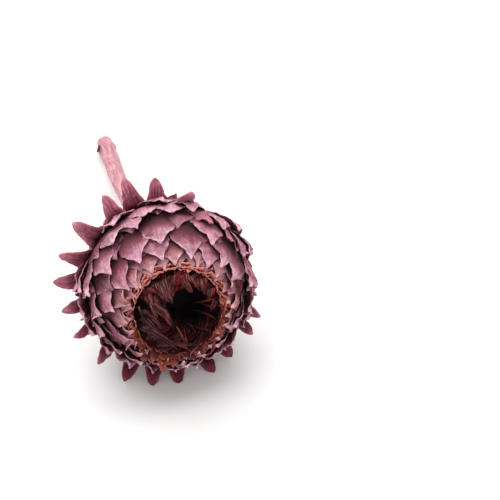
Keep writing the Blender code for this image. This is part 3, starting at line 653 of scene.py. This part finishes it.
def across_line(middle):
    """Two unit vectors across each point of a line of points: one level, one over it."""
    ahead = unit(np.gradient(middle, axis=-2))
    level = unit(np.cross(ahead, [0.0, 0.0, 1.0]))
    return level, np.cross(level, ahead)

def strand_rings(middle, thick):
    """A three-sided tube round each strand's middle line, thinning to its end."""
    level, over = across_line(middle)
    angle = np.radians([90, 210, 330])[None, None, :, None]
    size = (thick * THINNING)[..., None, None]
    return middle[:, :, None] + size * (np.cos(angle) * level[:, :, None] + np.sin(angle) * over[:, :, None])

mats = [  # number of bundles, mm from the axis, share of the reach, mm wide, strands, mm that they arch
    bundles(30, 19.7, (0.75, 1.1), (3.2, 5.0), 6, (0.4, 1.4)),
    bundles(22, 16.0, (0.65, 1.0), (3.0, 4.8), 6, (0.1, 0.8)),
    bundles(18, 13.0, (0.5, 0.9), (2.8, 4.4), 5, (0.0, 0.6)),
    bundles(12, 9.5, (0.4, 0.8), (2.2, 3.6), 5, (0.0, 0.5)),
    bundles(40, 17.0, (0.7, 1.2), (0.4, 1.2), 1, (0.6, 2.6)),
]
middles, bundle_tint, rooted = (np.concatenate(column) for column in zip(*mats))
strand_shells = strand_rings(middles, chance.uniform(0.22, 0.38, (len(middles), 1)))
florets = tubes("florets", laid(strand_shells), None,
                dict(tint=bundle_tint[:, None, None], strand=drawn(len(middles), 0, 1),
                     # Painted shade towards the hollow: 1 at its bottom, 0 from 0.62 of the way to the rim.
                     deep=np.clip(1 - between(strand_shells[..., 0], strand_shells[..., 1]) / 0.62, 0, 1),
                     upper=(0.5 + 0.5 * np.sin(np.radians(rooted)))[:, None, None]))

# %% [markdown]
# On top lie the bundles that catch the light. Their strands stuck together side by side, so each is one
# ribbed blade: wide at the root, closing up to a ragged end, and stiff enough to reach out over the hollow.

# %% The pale blades of the choke
FEATHERS = (  # root x and y, end x and y, and width at the root in mm; how pale and how red, 0 to 1
    (-11.5, 16.5, -3.2, 3.0, 4.6, 0.35, 0.6), (-6.6, 18.6, -1.2, 2.0, 7.4, 0.85, 0.15),
    (-13.5, 12.0, -9.3, -2.6, 3.2, 1.0, 0.2), (-10.2, 10.0, -4.4, -3.6, 3.0, 0.4, 0.5),
    (-11.5, 5.8, -3.2, -10.5, 5.0, 0.55, 0.35), (-7.0, 2.5, -2.4, -11.8, 2.4, 0.9, 0.2),
    (-16.2, 4.0, -8.2, -9.5, 3.4, 0.5, 0.3), (-17.2, 0.5, -3.6, -17.2, 4.6, 0.4, 0.15),
    (-17.6, -4.5, -1.4, -20.6, 4.4, 0.35, 0.1), (-15.8, -10.5, 3.0, -20.9, 3.6, 0.4, 0.1),
    (-11.5, -16.2, 9.5, -19.8, 3.0, 0.3, 0.1), (-18.0, 7.2, -16.8, -4.0, 1.4, 0.8, 0.3),
    (-0.4, 20.2, -0.2, 5.0, 5.2, 0.5, 1.0), (4.4, 19.6, 9.0, 4.4, 5.4, 0.5, 1.0),
    (8.0, 18.4, 12.6, 5.6, 4.2, 0.6, 0.9), (12.6, 15.6, 14.6, 2.6, 5.0, 0.45, 0.8),
    (16.6, 9.6, 15.4, -1.0, 4.0, 0.4, 0.7), (18.2, 2.0, 15.0, -6.0, 2.6, 0.3, 0.6),
    (2.2, -20.8, -1.6, -9.2, 1.7, 0.6, 0.9), (2.5, -20.4, 2.5, -11.6, 1.4, 0.5, 0.8),
    (18.6, 3.6, 7.0, -1.6, 0.8, 0.2, 0.9), (18.7, -2.6, 9.0, 0.6, 0.7, 0.1, 0.8),
    (17.6, -8.2, 6.4, -4.6, 0.8, 0.15, 0.8), (14.4, -14.0, 3.6, -10.6, 0.9, 0.2, 0.7),
    (9.4, -18.4, 3.8, -9.0, 0.9, 0.2, 0.7),
)
STRAND_WIDTH = 0.95  # mm of a blade that one strand takes up
ARCH, RIB = 0.9, 0.55  # mm high: the arch across a blade, and each rib
BRIDGE, PALE_RISE = 2.2, 1.4  # mm over the bowl: a blade's end, and a pale blade more than a dark one

def feathers(rows=26, columns=37):
    """Shells of ribbed blades. The middle line runs straight from root to end with a slight bow, no lower
    than the bowl; across, the blade is an arch with a rounded rib for each strand; strands end unevenly."""
    table = np.array(FEATHERS)
    count = len(table)
    root, end, width, pale, red = table[:, :2], table[:, 2:4], *table[:, 4:].T[:, :, None, None]
    share, side = grid(rows, columns)
    reach = np.linalg.norm(end - root, axis=1)[:, None]
    ahead = (end - root) / reach
    level = np.stack([-ahead[:, 1], ahead[:, 0]], -1)
    strands = np.maximum(np.round(width / STRAND_WIDTH), 1)
    wobble = 0.3 * np.sin(share * drawn(count, 3, 9) + drawn(count, 0, 6))
    lane = np.floor((side + 1) / 2 * strands * 0.999)
    uneven = np.sin(lane * 12.9 + drawn(count, 0, 6))
    run = share * (1 - 0.1 * np.abs(uneven) - 0.08 * side**2)
    half = width / 2 * (1 - 0.82 * run**1.2)
    bow = drawn(count, -0.08, 0.08) * reach[:, :, None] * np.sin(np.pi * run)
    across = side * half + bow
    flat = (root[:, None, None] + (run * reach[:, :, None])[..., None] * ahead[:, None, None]
            + across[..., None] * level[:, None, None])
    x, y = flat[..., 0], flat[..., 1]
    start_height, end_height = bowl(*root.T)[:, None, None], bowl(*end.T)[:, None, None]
    bridge = start_height + (end_height + BRIDGE - start_height) * run
    ribs = np.abs(np.sin(np.pi * ((side + 1) / 2 * strands + wobble)))
    z = np.maximum(bowl(x, y) + 0.5, bridge) + ARCH * (1 - side**2) * (1 - 0.6 * run) + RIB * ribs
    z = z + PALE_RISE * pale + 0.5 * drawn(count, -1, 1) * run + 0.3 * uneven * run
    top = np.stack([x, y, z], -1)
    under = top - np.array([0, 0, 0.5]) * (1 - 0.5 * run)[..., None]
    uv = shell_uv(side * half, run * reach[:, :, None] + 30 * np.arange(count)[:, None, None])
    # Painted shade towards the hollow: 1 at its bottom, 0 from halfway to the rim.
    deep = np.clip(1 - between(x, y) / 0.5, 0, 1)
    return laid(round_ring(top, under)), uv, both_faces(x.shape, pale=pale, red=red, rib=ribs, deep=deep)

plumes = tubes("floret_blades", *feathers())
for piece in (florets, floret_mat, plumes):
    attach(piece, "root")
    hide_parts("choke")

# %% [markdown]
# The stem is a circle carried along a curve. Its radius widens to a bell at the head and swells at the leaf
# joint, fine ribs run along it, and the saw left the cut end flat with a slightly rounded rim.

# %% The stem
STEM_RADIUS, STEM_REACH, STEM_PULL, STEM_BOW = 4.4, 131.5, 48.7, -1.9
NECK_RISE, NECK_LENGTH = 3.8, 16  # mm that the stem is thicker at the head, and over which it thins
JOINT_PLACE, JOINT_RISE, JOINT_LENGTH = 9.0, 1.0, 3.2  # mm from the cut, mm thicker, mm long
CUT_ROUND, CUT_DEPTH = 0.5, 0.45  # mm taken off the rim of the cut, and over which length
CUT_ASIDE, CUT_SUNK = 5.1, 0.55  # mm that the cut lies left of the head's axis, and its rim under the table
CUT_PULL = np.array([1.3, -36.0, 5.5])  # from the cut to the curve's last handle
STEM_RIBS = ((0.16, 9, 0.35, 14, 0), (0.07, 23, 0.5, 9, 1))  # height, number, and how they sway
start = laid(np.array([0, 0, -(GLOBE_BACK - HEART_DEPTH) * math.sin(math.radians(72)) - CLEARANCE]))
cut = np.array([start[0] - CUT_ASIDE, start[1] + STEM_REACH, STEM_RADIUS - CUT_SUNK])

def stem_line(share):
    """Points of a Bezier curve from the receptacle to the cut end, which lies on the table, with a small bow
    to the left: the square of a sine."""
    share = np.asarray(share)[..., None]
    near, far = start - AXIS * STEM_PULL, cut + CUT_PULL
    rest = 1 - share
    bow = np.sin(np.pi * share) ** 2 * np.array([STEM_BOW, 0.0, 0.0])
    return rest**3 * start + 3 * rest**2 * share * near + 3 * rest * share**2 * far + share**3 * cut + bow

def stem_rings(rows=150, sides=72):
    """Rings round the line: radius with neck, joint and rounded cut, plus ribs and shallow waves."""
    share = np.concatenate([[0], np.linspace(0.004, 0.997, rows), [0.9985, 1.0]])
    middle = stem_line(share)
    level, over = across_line(middle)
    to_cut = (1 - share) * STEM_REACH
    radius = (STEM_RADIUS + NECK_RISE * np.exp(-((share * STEM_REACH / NECK_LENGTH) ** 2))
              + JOINT_RISE * np.exp(-(((to_cut - JOINT_PLACE) / JOINT_LENGTH) ** 2)))
    radius = radius - CUT_ROUND * np.clip(1 - to_cut / CUT_DEPTH, 0, 1) ** 2
    angle = np.linspace(0, 2 * np.pi, sides, endpoint=False)
    length = share * STEM_REACH
    ribs = sum(high * np.sin(count * angle[None] + sway * np.sin(length[:, None] / pace + phase))
               for high, count, sway, pace, phase in STEM_RIBS)
    waves = 0.12 * ripple(angle[None, None] * 4, length[None, :, None], 6, 0.09)[0]
    radius = (radius[:, None] + (ribs + waves) * np.clip(to_cut / 2, 0.4, 1)[:, None])[..., None]
    rings = middle[:, None] + radius * (np.cos(angle)[None, :, None] * level[:, None]
                                        + np.sin(angle)[None, :, None] * over[:, None])
    rings[..., 2] = np.maximum(rings[..., 2], 0.0)
    uv = np.stack(np.broadcast_arrays(angle[None] * STEM_RADIUS, length[:, None]), -1)
    return rings[None], uv[None], dict(to_cut=to_cut[None, :, None])

stem = tubes("stem_skin", *stem_rings())

# %% [markdown]
# On the joint stands what is left of a dry leaf: a short blade along the stem, thick at its foot.

# %% The leaf stub
STUB_LENGTH, STUB_WIDTH, STUB_SPREAD, STUB_AZIMUTH = 7.0, 5.0, 2.2, math.radians(20)
STUB_SUNK = 0.9  # mm that its foot lies under the joint's skin

def stub_rings(rows=20, columns=9):
    """The shell of the stub: it starts under the joint's skin and spreads away from it towards the head."""
    root, end = stem_line(1 - JOINT_PLACE / STEM_REACH), stem_line(1.0)
    along = unit(root - end)
    right = unit(np.cross([0.0, 0.0, 1.0], along))
    outward = math.sin(STUB_AZIMUTH) * np.cross(along, right) - math.cos(STUB_AZIMUTH) * right
    share, side = np.linspace(0, 1, rows)[:, None], np.linspace(-1, 1, columns)[None]
    outline = ((0, 1.0), (0.4, 0.85), (0.75, 0.5), (0.92, 0.3), (1, 0.08))
    across = side * STUB_WIDTH / 2 * through(outline, share)
    run = STUB_LENGTH * (share - 0.3) + 0 * side
    rise = STEM_RADIUS + JOINT_RISE - STUB_SUNK + STUB_SPREAD * share - across**2 / (2 * STEM_RADIUS)
    rise = rise + 0.25 * share * ripple(across[None], run[None], 6, 0.35)[0]
    middle = (root + run[..., None] * along + across[..., None] * np.cross(along, outward)
              + rise[..., None] * outward)
    wall = (0.45 * (1 - 0.5 * share) * (1 - 0.6 * side**2))[..., None] * outward
    return round_ring(middle + wall, middle - wall, 1)[None]

stub = tubes("leaf_stub", stub_rings())
for piece in (stem, stub):
    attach(piece, "root")
    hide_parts("stem")

# %% [markdown]
# Between the scales one should look down on older scales, not on the bare heart. So a last row of plain
# ones lies close to the heart, under all the others.

# %% The lower layer of scales
pieces["under_scales"] = bract_piece("under_scales", bracts["under"], SCALE_OUTLINE,
                                     dict(COARSE_LOOK, curl=(-0.2, 0.4), bulge=0.2))

# %% [markdown]
# Materials are node trees. A class keeps them short to read: one method adds a node and plugs in its
# inputs, the others give noise, a graded range and sums, or lay one more coat over the colour so far.
# Colours are typed as a screen shows them, 0 to 255, and turned into the linear values that the renderer
# counts in.

# %% Helpers for materials
def shade(red, green, blue):
    """A linear colour from screen values: each channel over 255, to the power 2.2 (near the sRGB curve)."""
    return tuple(((c / 255) ** 2.2) for c in (red, green, blue)) + (1.0,)

class Finish:
    """A material under construction: a plain colour and roughness, over which coats are laid."""

    def __init__(self, name, colour, roughness, **shader):
        self.material = bpy.data.materials.new(name)
        self.material.use_nodes = True
        self.tree = self.material.node_tree
        self.shader = self.tree.nodes["Principled BSDF"]
        self.colour = shade(*colour)
        for key, value in dict(shader, Base_Color=self.colour, Roughness=roughness).items():
            self.shader.inputs[key.replace("_", " ")].default_value = value

    def add(self, kind, inputs, output, **settings):
        """Any node: its settings, its inputs as sockets or values, and which output to give."""
        made = self.tree.nodes.new(kind)
        for key, value in settings.items():
            setattr(made, key, value)
        for key, value in inputs.items():
            if isinstance(value, bpy.types.NodeSocket):
                self.tree.links.new(value, made.inputs[key])
            else:
                made.inputs[key].default_value = value
        return made.outputs[output]

    def value(self, name):
        """What the mesh says under this name at each vertex."""
        return self.add("ShaderNodeAttribute", {}, "Fac", attribute_name=name)

    def noise(self, scale, detail=4.0, rough=0.55, where="Object", stretch=(1, 1, 1)):
        """Noise of 0 to 1, with `scale` waves a metre on the object or a millimetre on the UV map."""
        place = self.add("ShaderNodeTexCoord", {}, where)
        place = self.add("ShaderNodeMapping", {"Vector": place, "Scale": stretch}, "Vector")
        inputs = {"Vector": place, "Scale": scale, "Detail": detail, "Roughness": rough}
        return self.add("ShaderNodeTexNoise", inputs, "Fac")

    def lines(self, across, along, detail, rough):
        """Noise on the UV map, finer across a blade than along it."""
        return self.noise(1.0, detail, rough, "UV", (across, along, 1))

    def towards(self, direction):
        """How far a place lies in a direction, in metres: their dot product."""
        inputs = {0: self.add("ShaderNodeTexCoord", {}, "Object"), 1: direction}
        return self.add("ShaderNodeVectorMath", inputs, "Value", operation="DOT_PRODUCT")

    def graded(self, value, low, high, least=0.0, most=1.0):
        """What goes from `least` to `most` while the value goes from low to high."""
        inputs = {"Value": value, "From Min": low, "From Max": high, "To Min": least, "To Max": most}
        return self.add("ShaderNodeMapRange", inputs, "Result")

    def plus(self, a, b, operation="ADD"):
        return self.add("ShaderNodeMath", {0: a, 1: b}, 0, operation=operation)

    def times(self, a, b):
        return self.plus(a, b, "MULTIPLY")

    def mix(self, share, a, b, blend="MIX"):
        """Colour a with colour b over it by a share of 0 to 1, or multiplied by it."""
        return self.add("ShaderNodeMix", {0: share, 6: a, 7: b}, 2, data_type="RGBA", blend_type=blend)

    def blend(self, below, share, above):
        """A screen colour laid over another by a share of 0 to 1."""
        return self.mix(share, shade(*below), shade(*above))

    def coat(self, colour, value, *span):
        """Lays a screen colour over the colour so far, by a share: a value, graded if a span is given."""
        share = self.graded(value, *span) if span else value
        self.colour = self.mix(share, self.colour, shade(*colour))

    def deepen(self, share, kept):
        """Keeps only a part of the red, green and blue of the colour so far, by a share of 0 to 1."""
        self.colour = self.mix(share, self.colour, self.mix(1.0, self.colour, (*kept, 1), "MULTIPLY"))

    def dress(self, height, depth, *dressed):
        """Plugs the colour in, makes a bump of that depth in metres of the height, and dresses the pieces."""
        inputs = {"Height": height, "Distance": depth, "Strength": 1.0}
        self.tree.links.new(self.colour, self.shader.inputs["Base Color"])
        self.tree.links.new(self.add("ShaderNodeBump", inputs, "Normal"), self.shader.inputs["Normal"])
        for piece in dressed:
            piece.data.materials.clear()
            piece.data.materials.append(self.material)
        print("finish:", self.material.name, "on", [piece.name for piece in dressed])

# %% [markdown]
# The dye dried unevenly on the bracts: dusty mauve on the faces, pale pink at the worn margins, warm salmon
# patches near the points, and deep wine in the folds. Fine veins run from root to tip, so they are a noise
# on the UV map, stretched a lot along the blade. Painted shade darkens each root under the bract above, the
# lower and right side of the head and the spikes near the table; painted light pales the free part.

# %% The finish of the bracts
LIT_DIRECTION, LOW_SIDE_SHADE_KEPT = (-0.2, 0.0, 0.98), (0.4, 0.17, 0.21)  # the direction of the light, and the shares of colour kept as painted shade on the lower and right side
# Painted shade near the table: the shares of colour that spreading bracts keep just above it.
TABLE_SHADE_KEPT = (0.42, 0.24, 0.29)

def bract_finish(name, face, dusk, bloom_and_light, margin, warm, warmth, inner, streak, inside_share):
    """A finish and its height: coats for the face, the lining, painted shade at the root, painted light
    beyond it, the point and the margin.
    """
    finish = Finish(name, dusk, 0.75, Sheen_Weight=0.04, Sheen_Roughness=0.5, Specular_IOR_Level=0.12)
    graded, times, noise, tip = finish.graded, finish.times, finish.noise, finish.value("tip")
    veins, broad_veins = finish.lines(1.5, 0.07, 6, 0.65), finish.lines(0.45, 0.05, 3, 0.6)
    blotches, patches = noise(170, 5, 0.65), noise(60, 4, 0.6)
    finish.coat(face, blotches, 0.38, 0.62)
    finish.coat(bloom_and_light, times(graded(patches, 0.42, 0.68, 0, 0.85), graded(tip, 0.4, 0.8, 0.25, 1)))
    hot = times(graded(broad_veins, 0.47, 0.62), graded(tip, 0.35, 0.9, 0.3, 1))
    hot = times(hot, graded(noise(120, 3), 0.46, 0.62))
    finish.coat(warm, times(hot, warmth))
    finish.coat(dusk, veins, 0.36, 0.58, 0.7, 0.0)
    finish.coat(bloom_and_light, finish.lines(0.9, 0.09, 5, 0.7), 0.54, 0.64, 0, 0.5)
    lining = finish.blend(inner, graded(veins, 0.42, 0.6), streak)
    lining = finish.mix(graded(blotches, 0.45, 0.7, 0, 0.7), lining, shade(*inner))
    finish.colour = finish.mix(times(finish.value("inside"), inside_share), finish.colour, lining)
    # Painted shade at the root, where the bract above covers it, and painted light on the free part beyond.
    finish.coat(dusk, tip, 0.4, 0.74, 0.9, 0.0)
    finish.coat(bloom_and_light, times(graded(tip, 0.55, 0.75), graded(blotches, 0.36, 0.6, 0.05, 0.4)))
    finish.coat([0.5 * c for c in dusk], tip, 0.3, 0.62, 0.9, 0.0)
    grain = graded(noise(900, 4, 0.7), 0.3, 0.7, 0.78, 1.12)
    tinted = times(graded(finish.value("tint"), 0, 1, 0.78, 1.12), grain)
    tinted = finish.add("ShaderNodeCombineColor", {0: tinted, 1: tinted, 2: tinted}, 0)
    finish.colour = finish.mix(1.0, finish.colour, tinted, "MULTIPLY")
    # Painted shade: the colour deepens on the head's lower side and towards its right, away from the light.
    finish.deepen(graded(finish.towards(LIT_DIRECTION), 0.04, 0.077, 1.0, 0.0), LOW_SIDE_SHADE_KEPT)
    finish.coat(margin, times(graded(tip, 0.78, 0.97, 0, 0.7), graded(patches, 0.35, 0.6)))
    worn = times(finish.value("edge"), graded(noise(210), 0.42, 0.62, 0.1, 1.0))
    finish.coat(margin, times(worn, graded(tip, 0.4, 0.72)))
    return finish, finish.plus(times(veins, 0.7), noise(330, 5, 0.7))

BRACT_FINISHES = dict(
    dusty_scale=((216, 138, 153), (142, 72, 87), (218, 175, 197), (250, 198, 220), (232, 136, 112), 1.0,
                 (150, 38, 60), (184, 90, 108), 0.8),
    # The under layer's finish is a darker copy of the dusty scale: painted shade in the gaps between scales.
    deep_scale=((158, 84, 98), (88, 34, 46), (162, 112, 128), (214, 158, 176), (176, 84, 74), 1.0,
                (110, 26, 42), (140, 62, 76), 0.8),
    salmon_scale=((214, 144, 150), (150, 80, 88), (220, 172, 182), (244, 190, 198), (230, 146, 122), 0.9,
                  (140, 38, 52), (180, 92, 102), 0.8),
    wine_spike=((172, 84, 102), (112, 38, 54), (188, 120, 140), (226, 146, 162), (196, 84, 82), 0.5,
                (92, 24, 40), (208, 126, 144), 0.95),
)
for name, bump, dressed in (("dusty_scale", 0.0009, ("scales", "basal_bracts", "base_bracts")),
                            ("deep_scale", 0.0009, ("under_scales",)),
                            ("salmon_scale", 0.0006, ("rim_scales", "inner_scales")),
                            ("wine_spike", 0.0006, ("spreading_bracts",))):
    finish, height = bract_finish(name, *BRACT_FINISHES[name])
    if name == "wine_spike":
        finish.coat((196, 128, 142), finish.value("pressed"), 0.4, 0.9, 0, 0.6)
        # Painted shade: spreading bracts deepen from 26 mm above the table down to 4 mm.
        finish.deepen(finish.graded(finish.towards((0, 0, 1)), 0.004, 0.026, 0.95, 0.0), TABLE_SHADE_KEPT)
    finish.dress(height, bump, *(pieces[key] for key in dressed))

# %% [markdown]
# The heart is dark wine. The collar goes from orange brown below to pink at the top, with painted shade
# in its inward folds and at its foot.

# %% The finish of the receptacle and the collar
def dress_heart():
    """Wine red, and paler on the lip of the cup, which is found by metres along the head's axis."""
    finish = Finish("shaded_heart", (78, 20, 30), 0.85)
    finish.coat((120, 46, 56), finish.noise(150))
    lip = finish.blend((120, 52, 54), finish.noise(300), (200, 124, 122))
    near_rim = finish.graded(finish.towards(AXIS.tolist()), 0.0955, 0.0985)
    finish.colour = finish.mix(near_rim, finish.colour, lip)
    finish.dress(finish.noise(300), 0.0004, receptacle)

def dress_collar():
    """Orange brown to pink round the ring, painted shade at the foot and in the folds, and a pale free edge.
    """
    finish = Finish("crumpled_paper", (72, 20, 16), 0.7, Specular_IOR_Level=0.3)
    tip, tint = finish.value("tip"), finish.value("tint")
    # Tint: on the ruffles, painted shade in the inward folds; on the shreds, a random tone.
    finish.coat((134, 50, 42), tint)
    finish.coat((166, 80, 50), finish.noise(70), 0.5, 0.62, 0, 0.8)
    pink = finish.blend((166, 54, 48), tint, (255, 160, 150))
    where = finish.plus(finish.value("pink"), finish.graded(finish.noise(90), 0.3, 0.7, -0.35, 0.35))
    finish.colour = finish.mix(finish.graded(where, 0.3, 0.8), finish.colour, pink)
    # Painted shade: the collar goes near black from its middle down to its foot in the cup.
    finish.coat((48, 11, 10), tip, 0.35, 0.9, 0.97, 0.0)
    finish.coat((80, 20, 18), finish.noise(300), 0.45, 0.62, 0, 0.8)
    # The pale free edge: partly the paper's own paleness, partly painted highlight, strongest where it is
    # pink.
    edge = finish.times(finish.graded(tip, 0.85, 1.0, 0, 0.8), finish.graded(where, 0.2, 0.7, 0.25, 1))
    finish.coat((248, 160, 150), edge)
    finish.dress(finish.noise(420, 5), 0.0006, ruffles, flakes)

dress_heart()
dress_collar()

# %% [markdown]
# The choke is close to black in the hollow, which is painted shade, and reddest at the top. Painted shade
# darkens its blades between their ribs, and the mat under the strands is near black.

# %% The finish of the choke
def dress_strands():
    """Single strands: near black to brown, some pale, redder at the top, and painted shade, black, towards
    the hollow.
    """
    finish = Finish("dry_floret", (8, 2, 3), 0.75, Specular_IOR_Level=0.1)
    tint = finish.value("tint")
    finish.coat((84, 30, 34), finish.value("strand"), 0.35, 1.0)
    finish.coat((130, 80, 84), tint, 0.7, 1.0, 0, 0.4)
    finish.coat((170, 66, 64), finish.times(finish.graded(finish.value("upper"), 0.7, 1.0), tint))
    # Painted shade: strands go black towards the hollow.
    finish.coat((4, 1, 1), finish.value("deep"), 0.0, 0.5)
    finish.dress(finish.noise(900, 3), 0.0002, florets)

def dress_blades():
    """Mauve or red, with painted shade between the ribs and fine dark lines along them."""
    finish = Finish("ribbed_floret", (54, 18, 24), 0.6, Specular_IOR_Level=0.25)
    lines, pale = finish.lines(1.5, 0.07, 4, 0.75), finish.value("pale")
    finish.coat((186, 108, 112), pale)
    red = finish.blend((120, 34, 34), pale, (244, 126, 118))
    finish.colour = finish.mix(finish.value("red"), finish.colour, red)
    finish.coat((26, 6, 9), lines, 0.47, 0.57, 0.97, 0.0)
    # Painted shade between the ribs: darkest in the valleys between strands.
    finish.coat((16, 3, 5), finish.value("rib"), 0.0, 0.7, 0.9, 0.0)
    finish.coat((44, 12, 16), finish.noise(200), 0.5, 0.66, 0, 0.6)
    # Painted shade: blades go near black towards the hollow.
    finish.coat((10, 2, 3), finish.value("deep"), 0.0, 0.9, 0, 0.8)
    finish.dress(lines, 0.0003, plumes)

def dress_mottled(piece, name, dark, light, scale, bump_scale, depth, roughness, **shader):
    """Plain tissue: a noise between two colours, and a finer one for its bump."""
    finish = Finish(name, dark, roughness, **shader)
    finish.coat(light, finish.noise(scale))
    finish.dress(finish.noise(bump_scale), depth, piece)

dress_strands()
dress_blades()
# The mat is near black: the florets' dark colour deepened by painted shade under the strands.
dress_mottled(floret_mat, "shaded_matted_florets", (3, 0, 1), (20, 6, 8), 400, 700, 0.0006, 0.9,
              Specular_IOR_Level=0.1)

# %% [markdown]
# The stem is the palest part. Its fibres are lines along the UV map, with scuffed patches and dark specks,
# and it is browner within a millimetre of the cut.

# %% The finish of the stem
finish = Finish("dyed_stem", (168, 106, 118), 0.62, Specular_IOR_Level=0.3)
fibres = finish.lines(1.4, 0.05, 6, 0.6)
finish.coat((210, 154, 164), fibres, 0.36, 0.64)
finish.coat((232, 188, 184), finish.lines(0.35, 0.07, 5, 0.6), 0.48, 0.66, 0, 0.65)
finish.coat((184, 116, 118), finish.noise(260, 4, 0.7), 0.5, 0.64, 0, 0.6)
finish.coat((112, 56, 56), finish.noise(900, 3, 0.6), 0.62, 0.7, 0, 0.7)
finish.coat((150, 86, 80), finish.value("to_cut"), 0.1, 1.2, 0.6, 0.0)
finish.dress(fibres, 0.0005, stem)
dress_mottled(stub, "dry_leaf", (56, 20, 22), (118, 62, 58), 300, 400, 0.0005, 0.8)

# %% [markdown]
# A pale table, one broad soft light above, a little to the left and behind, and a white sky that fills the
# shadows.

# %% Table and light
bpy.ops.mesh.primitive_plane_add(size=6)
table = bpy.context.object
table.name = "table"
table.data.materials.append(Finish("pale_table", (246, 245, 245), 0.9).material)

light = bpy.data.lights.new("window", "AREA")
light.size, light.energy = 1.5, 17
lamp = bpy.data.objects.new("window", light)
bpy.context.scene.collection.objects.link(lamp)
lamp.location = (-0.08, 0.34, 1.2)
lit = Vector((0, -0.05, 0.04))  # the place that the light points at
lamp.rotation_euler = (lamp.location - lit).to_track_quat("Z", "Y").to_euler()

world = bpy.data.worlds.new("studio")
bpy.context.scene.world = world
world.use_nodes = True
sky = world.node_tree.nodes["Background"].inputs
sky["Color"].default_value = (1, 1, 1, 1)
sky["Strength"].default_value = 0.79
bpy.context.scene.view_settings.view_transform = "Standard"
print("light:", light.energy, "W from", [round(x, 2) for x in lamp.location])

# %% [markdown]
# The camera stands in front of the flower and a little to its left, and looks down at 44 degrees.

# %% Camera
VIEW_AZIMUTH, VIEW_ELEVATION, VIEW_DISTANCE = math.radians(-14), math.radians(44), 700.0
PIXEL, PICTURE, SENSOR = 0.482, 500, 36  # mm of the head in a pixel, pixels of the picture, mm of the sensor
back = np.array([math.sin(VIEW_AZIMUTH) * math.cos(VIEW_ELEVATION),
                 -math.cos(VIEW_AZIMUTH) * math.cos(VIEW_ELEVATION), math.sin(VIEW_ELEVATION)])
right = np.array([math.cos(VIEW_AZIMUTH), math.sin(VIEW_AZIMUTH), 0])
above = np.cross(back, right)
aim = HEAD_CENTRE + (84 * right + 30 * above) * PIXEL  # the head lies 84 pixels left of the middle, 30 below
camera = bpy.data.objects.new("camera", bpy.data.cameras.new("camera"))
bpy.context.scene.collection.objects.link(camera)
camera.data.sensor_width = SENSOR
camera.data.lens = SENSOR * VIEW_DISTANCE / (PICTURE * PIXEL)
stand = (aim + VIEW_DISTANCE * back) * MM
camera.matrix_world = Matrix([[right[k], above[k], back[k], stand[k]] for k in range(3)] + [[0, 0, 0, 1]])
bpy.context.scene.camera = camera
print("lens", round(camera.data.lens, 1), "mm")
